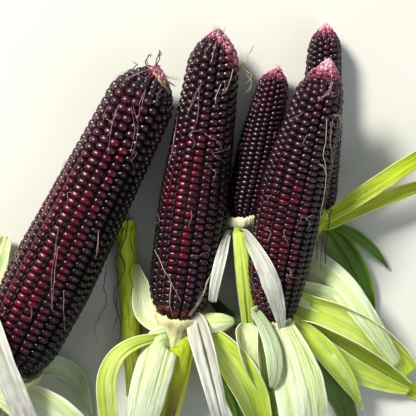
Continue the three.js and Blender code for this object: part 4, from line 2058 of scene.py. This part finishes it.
def make_ears() -> list[Ear]:
    """Lays out the five ears.

    Returns:
        The ears, from left to right by their bases.
    """
    # The flushes below 0 at clock 70 to 80 are painted shade on each ear's right side. Those at
    # clock -25 to -40 add a painted glow to the lit left side's own red.
    return [
        Ear(
            name="ear_1", tip=(-30.5, 89.0), base=(-126.2, -99.0), tip_height=27.3,
            base_height=27.3, radius=27.2, rows=20, tip_round=0.12, shoulder=0.8, fullest=0.72,
            base_round=0.1, pitch=4.55, tip_kernel=4.2, tip_zone=20.0, seed=11, twist=4.0,
            plump_to=0.33,
            pallor=Pallor(0.022, 45.0, 1.3, 0.5),
            flushes_and_shade=(
                FlushAndShade(0.64, -36.0, 0.32, 66.0, 2.5),
                FlushAndShade(0.3, -40.0, 0.2, 60.0, 0.8),
                FlushAndShade(0.1, -10.0, 0.18, 90.0, 0.5),
                FlushAndShade(0.6, 75.0, 0.6, 42.0, -1.7),
                FlushAndShade(0.98, 0.0, 0.1, 120.0, -1.8),
            ),
        ),
        Ear(
            name="ear_2", tip=(6.9, 113.3), base=(-19.8, -69.0), tip_height=22.2, base_height=22.2,
            radius=22.2, rows=18, tip_round=0.13, shoulder=0.77, fullest=0.6, base_round=0.12,
            pitch=4.3, tip_kernel=2.6, tip_zone=20.0, seed=23, twist=-3.0,
            pallor=Pallor(0.05, 85.0, 1.7, 0.48),
            flushes_and_shade=(
                FlushAndShade(0.2, 0.0, 0.2, 80.0, 0.5),
                FlushAndShade(0.62, -25.0, 0.24, 45.0, 2.4),
                FlushAndShade(0.85, -75.0, 0.2, 30.0, -2.4),
                FlushAndShade(0.6, 80.0, 0.5, 34.0, -1.8),
            ),
            rusty_base=True,
        ),
        Ear(
            name="ear_3", tip=(44.8, 91.5), base=(22.4, -7.7), tip_height=14.3, base_height=14.3,
            radius=14.3, rows=16, tip_round=0.16, shoulder=0.76, fullest=0.55, base_round=0.14,
            pitch=3.1, tip_kernel=1.5, tip_zone=16.0, seed=31, plump_to=0.9,
            pallor=Pallor(0.1),
            flushes_and_shade=(FlushAndShade(0.15, 0.0, 0.14, 150.0, 1.3),),
            darkness=1.5,
        ),
        Ear(
            name="ear_4", tip=(75.6, 119.2), base=(69.4, -3.8), tip_height=14.0, base_height=14.0,
            radius=14.0, rows=16, tip_round=0.15, shoulder=0.8, fullest=0.55, base_round=0.12,
            pitch=3.1, tip_kernel=1.5, tip_zone=18.0, seed=43, plump_to=0.9,
            pallor=Pallor(0.085),
            flushes_and_shade=(FlushAndShade(0.1, 0.0, 0.12, 150.0, 0.9),),
            darkness=1.4,
        ),
        Ear(
            name="ear_5", tip=(71.4, 88.2), base=(43.8, -71.5), tip_height=56.0, base_height=27.0,
            radius=20.8, rows=18, tip_round=0.15, shoulder=0.74, fullest=0.45, base_round=0.3,
            pitch=3.75, tip_kernel=1.7, tip_zone=24.0, seed=57, bow=-7.0,
            pallor=Pallor(0.082),
            flushes_and_shade=(
                FlushAndShade(0.12, 0.0, 0.12, 120.0, 1.0),
                FlushAndShade(0.66, -25.0, 0.26, 45.0, 2.0),
                FlushAndShade(0.6, 70.0, 0.5, 40.0, -1.5),
            ),
        ),
    ]


# The way down each ear in degrees, by which the roots of its leaves are placed.
LEAF_HEADINGS = (-117.0, -98.0, -103.0, -93.0, -88.0)


def make_shanks(ears: list[Ear]) -> list[Shank]:
    """Lays out the shanks.

    Args:
        ears: The five ears.

    Returns:
        The shank of each ear.
    """
    rim = StalkFinish("collar_pale", "e6e9bd", "cfdc8c", "b9c878", "a58a52", 0.2, 0.5)
    worn = StalkFinish("collar_worn", "e6e6b4", "ece9b2", "c9c06a", "7a5a2c", 0.55, 0.5)
    knot = StalkFinish("collar_cream", "e9e8cc", "d5dca0", "bfc68e", "9a8d5c", 0.2, 0.5)
    lime = StalkFinish("shank_lime", "b5c61c", "9fb80a", "8aa00a", "a8893a", 0.25)
    green = StalkFinish("shank_green", "b9c84e", "8fae2a", "7c9a24", "98813c", 0.25)
    # The numbers are heading, length, radius, drop, flare, collar and rise.
    return [
        Shank("shank_1", ears[0], -116, 62, 8.0, 18.5, 0.84, 17, 6, rim, green),
        Shank("shank_2", ears[1], -99, 88, 7.6, 14.0, 0.62, 20, 3, worn, lime),
        Shank("shank_3", ears[2], -84, 34, 5.0, 8.5, 0.86, 11, 5, knot, green),
        Shank("shank_4", ears[3], -104, 36, 5.0, 8.5, 0.8, 12, 7, lime, green),
        Shank("shank_5", ears[4], -88, 66, 7.0, 19.5, 0.5, 14, 4, rim, green),
    ]


def make_leaves(ears: list[Ear]) -> list[HuskLeaf]:
    """Lays out the husk leaves.

    Args:
        ears: The five ears.

    Returns:
        The leaves, ear by ear.
    """

    def leaf(name: str, ear: int, tone: HuskTone, *places: float, **more: object) -> HuskLeaf:
        """Returns one leaf of an ear, counted from 1."""
        return HuskLeaf(name, ears[ear - 1], LEAF_HEADINGS[ear - 1], tone, *places, **more)

    h = HuskTone
    # The numbers are below, clock, out, heading, turn, length, width, rise and rest.
    return [
        leaf(
            "husk_1a", 1, h.DRY, -36, -62, 32, -65, -18, 144, 16, 27, 4, lean=-24, neck=0.8,
            tip=0.6, rib=0.35, ripple=0.8,
        ),
        leaf("husk_1d", 1, h.PALE, 13, 44, 12, -14, -92, 102, 33, 14, 4, cup=-0.16),
        # This leaf's grey-green finish is painted shade.
        leaf("husk_1e", 1, h.SHADED_PALE, 10, 140, 14, 45, -118, 72, 13, 0, 4, turn_by=0.8),
        leaf("husk_1b", 1, h.PALE, 12, -133, 22, 95, -29, 87, 24, -3, 8, tip=0.5),
        leaf("husk_1g", 1, h.FRESH, 18, -125, 7, -145, 53, 89, 24, 8, 4),
        leaf(
            "husk_2a", 2, h.FRESH, 12, -42, 12, -176, 88, 112, 12.5, 20, 4, turn_by=0.5, neck=0.4,
            fullest=0.55, tip=0.3,
        ),
        leaf(
            "husk_2d", 2, h.DRY, -1, 54, 15, -73, -8, 116, 14, 22, 4, neck=0.9, fullest=0.12,
            taper=1, tip=0.4, ridges=((-0.1, 0.12, -3.2), (0.5, 0.12, -0.9)), rib=0.4,
            slit=(-0.1, -0.8),
        ),
        leaf(
            "husk_2b", 2, h.PALE, 16, -32, 12.5, -108, 12, 90, 23, 14, 4, cup=-0.1, neck=0.95,
            fullest=0.2, tip=0.4,
        ),
        leaf(
            "husk_2k", 2, h.SCORCHED, 17, 40, 9.5, -104, 2, 58, 18, 1, 19, cup=-0.22, neck=0.9,
            tip=0.7, rib=0.3, ripple=0.8,
        ),
        leaf(
            "husk_2e", 2, h.CREAM, 0, 66, 13, -8, 16, 25, 12, 2, 27, cup=-0.25, neck=0.8, tip=0.3,
            taper=3, ripple=1.3,
        ),
        leaf(
            "husk_2f", 2, h.FRESH, 2, 86, 13, -38, -52, 101, 23, 13, 4, cup=0.2, neck=0.3,
            curl=(0.0, 0.5),
        ),
        leaf("husk_2g", 2, h.LEAFY, 8, 122, 8, -42, -46, 93, 12, 2, 4),
        leaf(
            "husk_2i", 2, h.CREAM, 5, -132, 10.5, 159, -58, 44, 17, -2, 12, turn_by=0.5, cup=0.26,
            neck=0.9, fullest=0.3, tip=0.1, taper=1.4,
        ),
        leaf("husk_3a", 3, h.DRY, 10, -33, 14.5, -109, 12, 44, 7, 7, 31, tip=0.7),
        leaf(
            "husk_3c", 3, h.DRY, 8, 12, 13, -58, -24, 64, 11, 26, 39, crest=0.3, lean=-35,
            lean_end=10, tip=0.25, rib=0.8, ripple=1.5,
        ),
        leaf(
            "husk_3b", 3, h.FRESH, 8, -4, 12, -83, -2, 66, 11, 6, 16, cup=-0.14, neck=0.8, tip=0.7,
            ridges=((0.1, 0.12, -0.9),),
        ),
        leaf("husk_4a", 4, h.LIME, 2, 36, 10, 36, -8, 109, 11, 14, 6, cup=0.1, neck=0.7),
        leaf("husk_4b", 4, h.LIME, 6, 75, 8, 29, -19, 92, 9, 10, 5, neck=0.9),
        leaf("husk_4d", 4, h.LEAFY, 6, 90, 10, -20, -34, 49, 8, 3, 4),
        leaf("husk_4c", 4, h.LEAFY, 7, 118, 8, -51, -23, 71, 17, 1, 4),
        # This leaf's grey-green finish is painted shade.
        leaf(
            "husk_5b", 5, h.SHADED_PALE, -9, -58, 18, -50, -56, 46, 10, 8, 53, neck=0.6, fullest=0.6,
            tip=0.3, ripple=1.0,
        ),
        leaf(
            "husk_5a", 5, h.PALE, 0, 2, 13, -70, -25, 115, 30, 25, 4, cup=-0.1, neck=0.5,
            fullest=0.36, tip=0.4,
        ),
        leaf(
            "husk_5d", 5, h.PALE, -38, 121, 19, -24, -31, 92, 20, 14, 19, turn_by=0.5, cup=-0.1,
            neck=1, fullest=0.1, taper=1, tip=0.45, rib=0.4, ripple=1.0,
        ),
        leaf(
            "husk_5n", 5, h.PALE, -18, 86, 15, -12, -22, 44, 17, 1, 26, neck=0.9, tip=0.15,
            fullest=0.3, ripple=0.9,
        ),
        leaf("husk_5h", 5, h.FRESH, -4, 62, 10, -32, -38, 73, 6, 6, 18),
        leaf("husk_5g", 5, h.FRESH, 0, 77, 8, -40, -22, 78, 10, 9, 12),
        leaf(
            "husk_5e", 5, h.FRESH, -11, 92, 10, -12, -38, 92, 23, 9, 13, cup=0.16, neck=0.75,
            tip=0.6, curl=(0.4, 0.9),
        ),
        leaf("husk_5k", 5, h.FRESH, -2, 122, 9, -48, 32, 96, 15, 6, 6, tip=0.3),
        leaf(
            "husk_5c", 5, h.CREAM, -1, -84, 20, -92, 30, 46, 17, 5, 20, cup=0.3, neck=0.35,
            fullest=0.16, tip=0.3, taper=1, curl=(0.5, 0.5), tuck=0.0,
        ),
        leaf("husk_5m", 5, h.FRESH, 5, -70, 11, -84, 4, 40, 6, 3, 14, neck=0.8, tip=0.5, tuck=0.25),
        leaf("husk_5f", 5, h.LIME, 0, 150, 9, -26, -8, 108, 20, 0, 2, tip=0.3),
        # Its darker green is painted shade on a lime leaf.
        leaf("husk_5j", 5, h.LEAFY, 7, 133, 8, -38, -46, 99, 17, 2, 4),
        leaf("husk_5l", 5, h.DARK, 7, -128, 10, 172, -62, 54, 8, 1, 4),
    ]


def main() -> None:
    """Builds the studio and the bunch."""
    logging.basicConfig(level=logging.INFO, format="%(message)s")
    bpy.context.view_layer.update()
    Studio().build()
    ears = make_ears()
    for ear in ears:
        ear.build()
    for shank in make_shanks(ears):
        shank.build()
    Stem().build()
    for silks in make_silks(ears):
        silks.build()
    for leaf in make_leaves(ears):
        leaf.build()


if __name__ == "__main__":
    main()
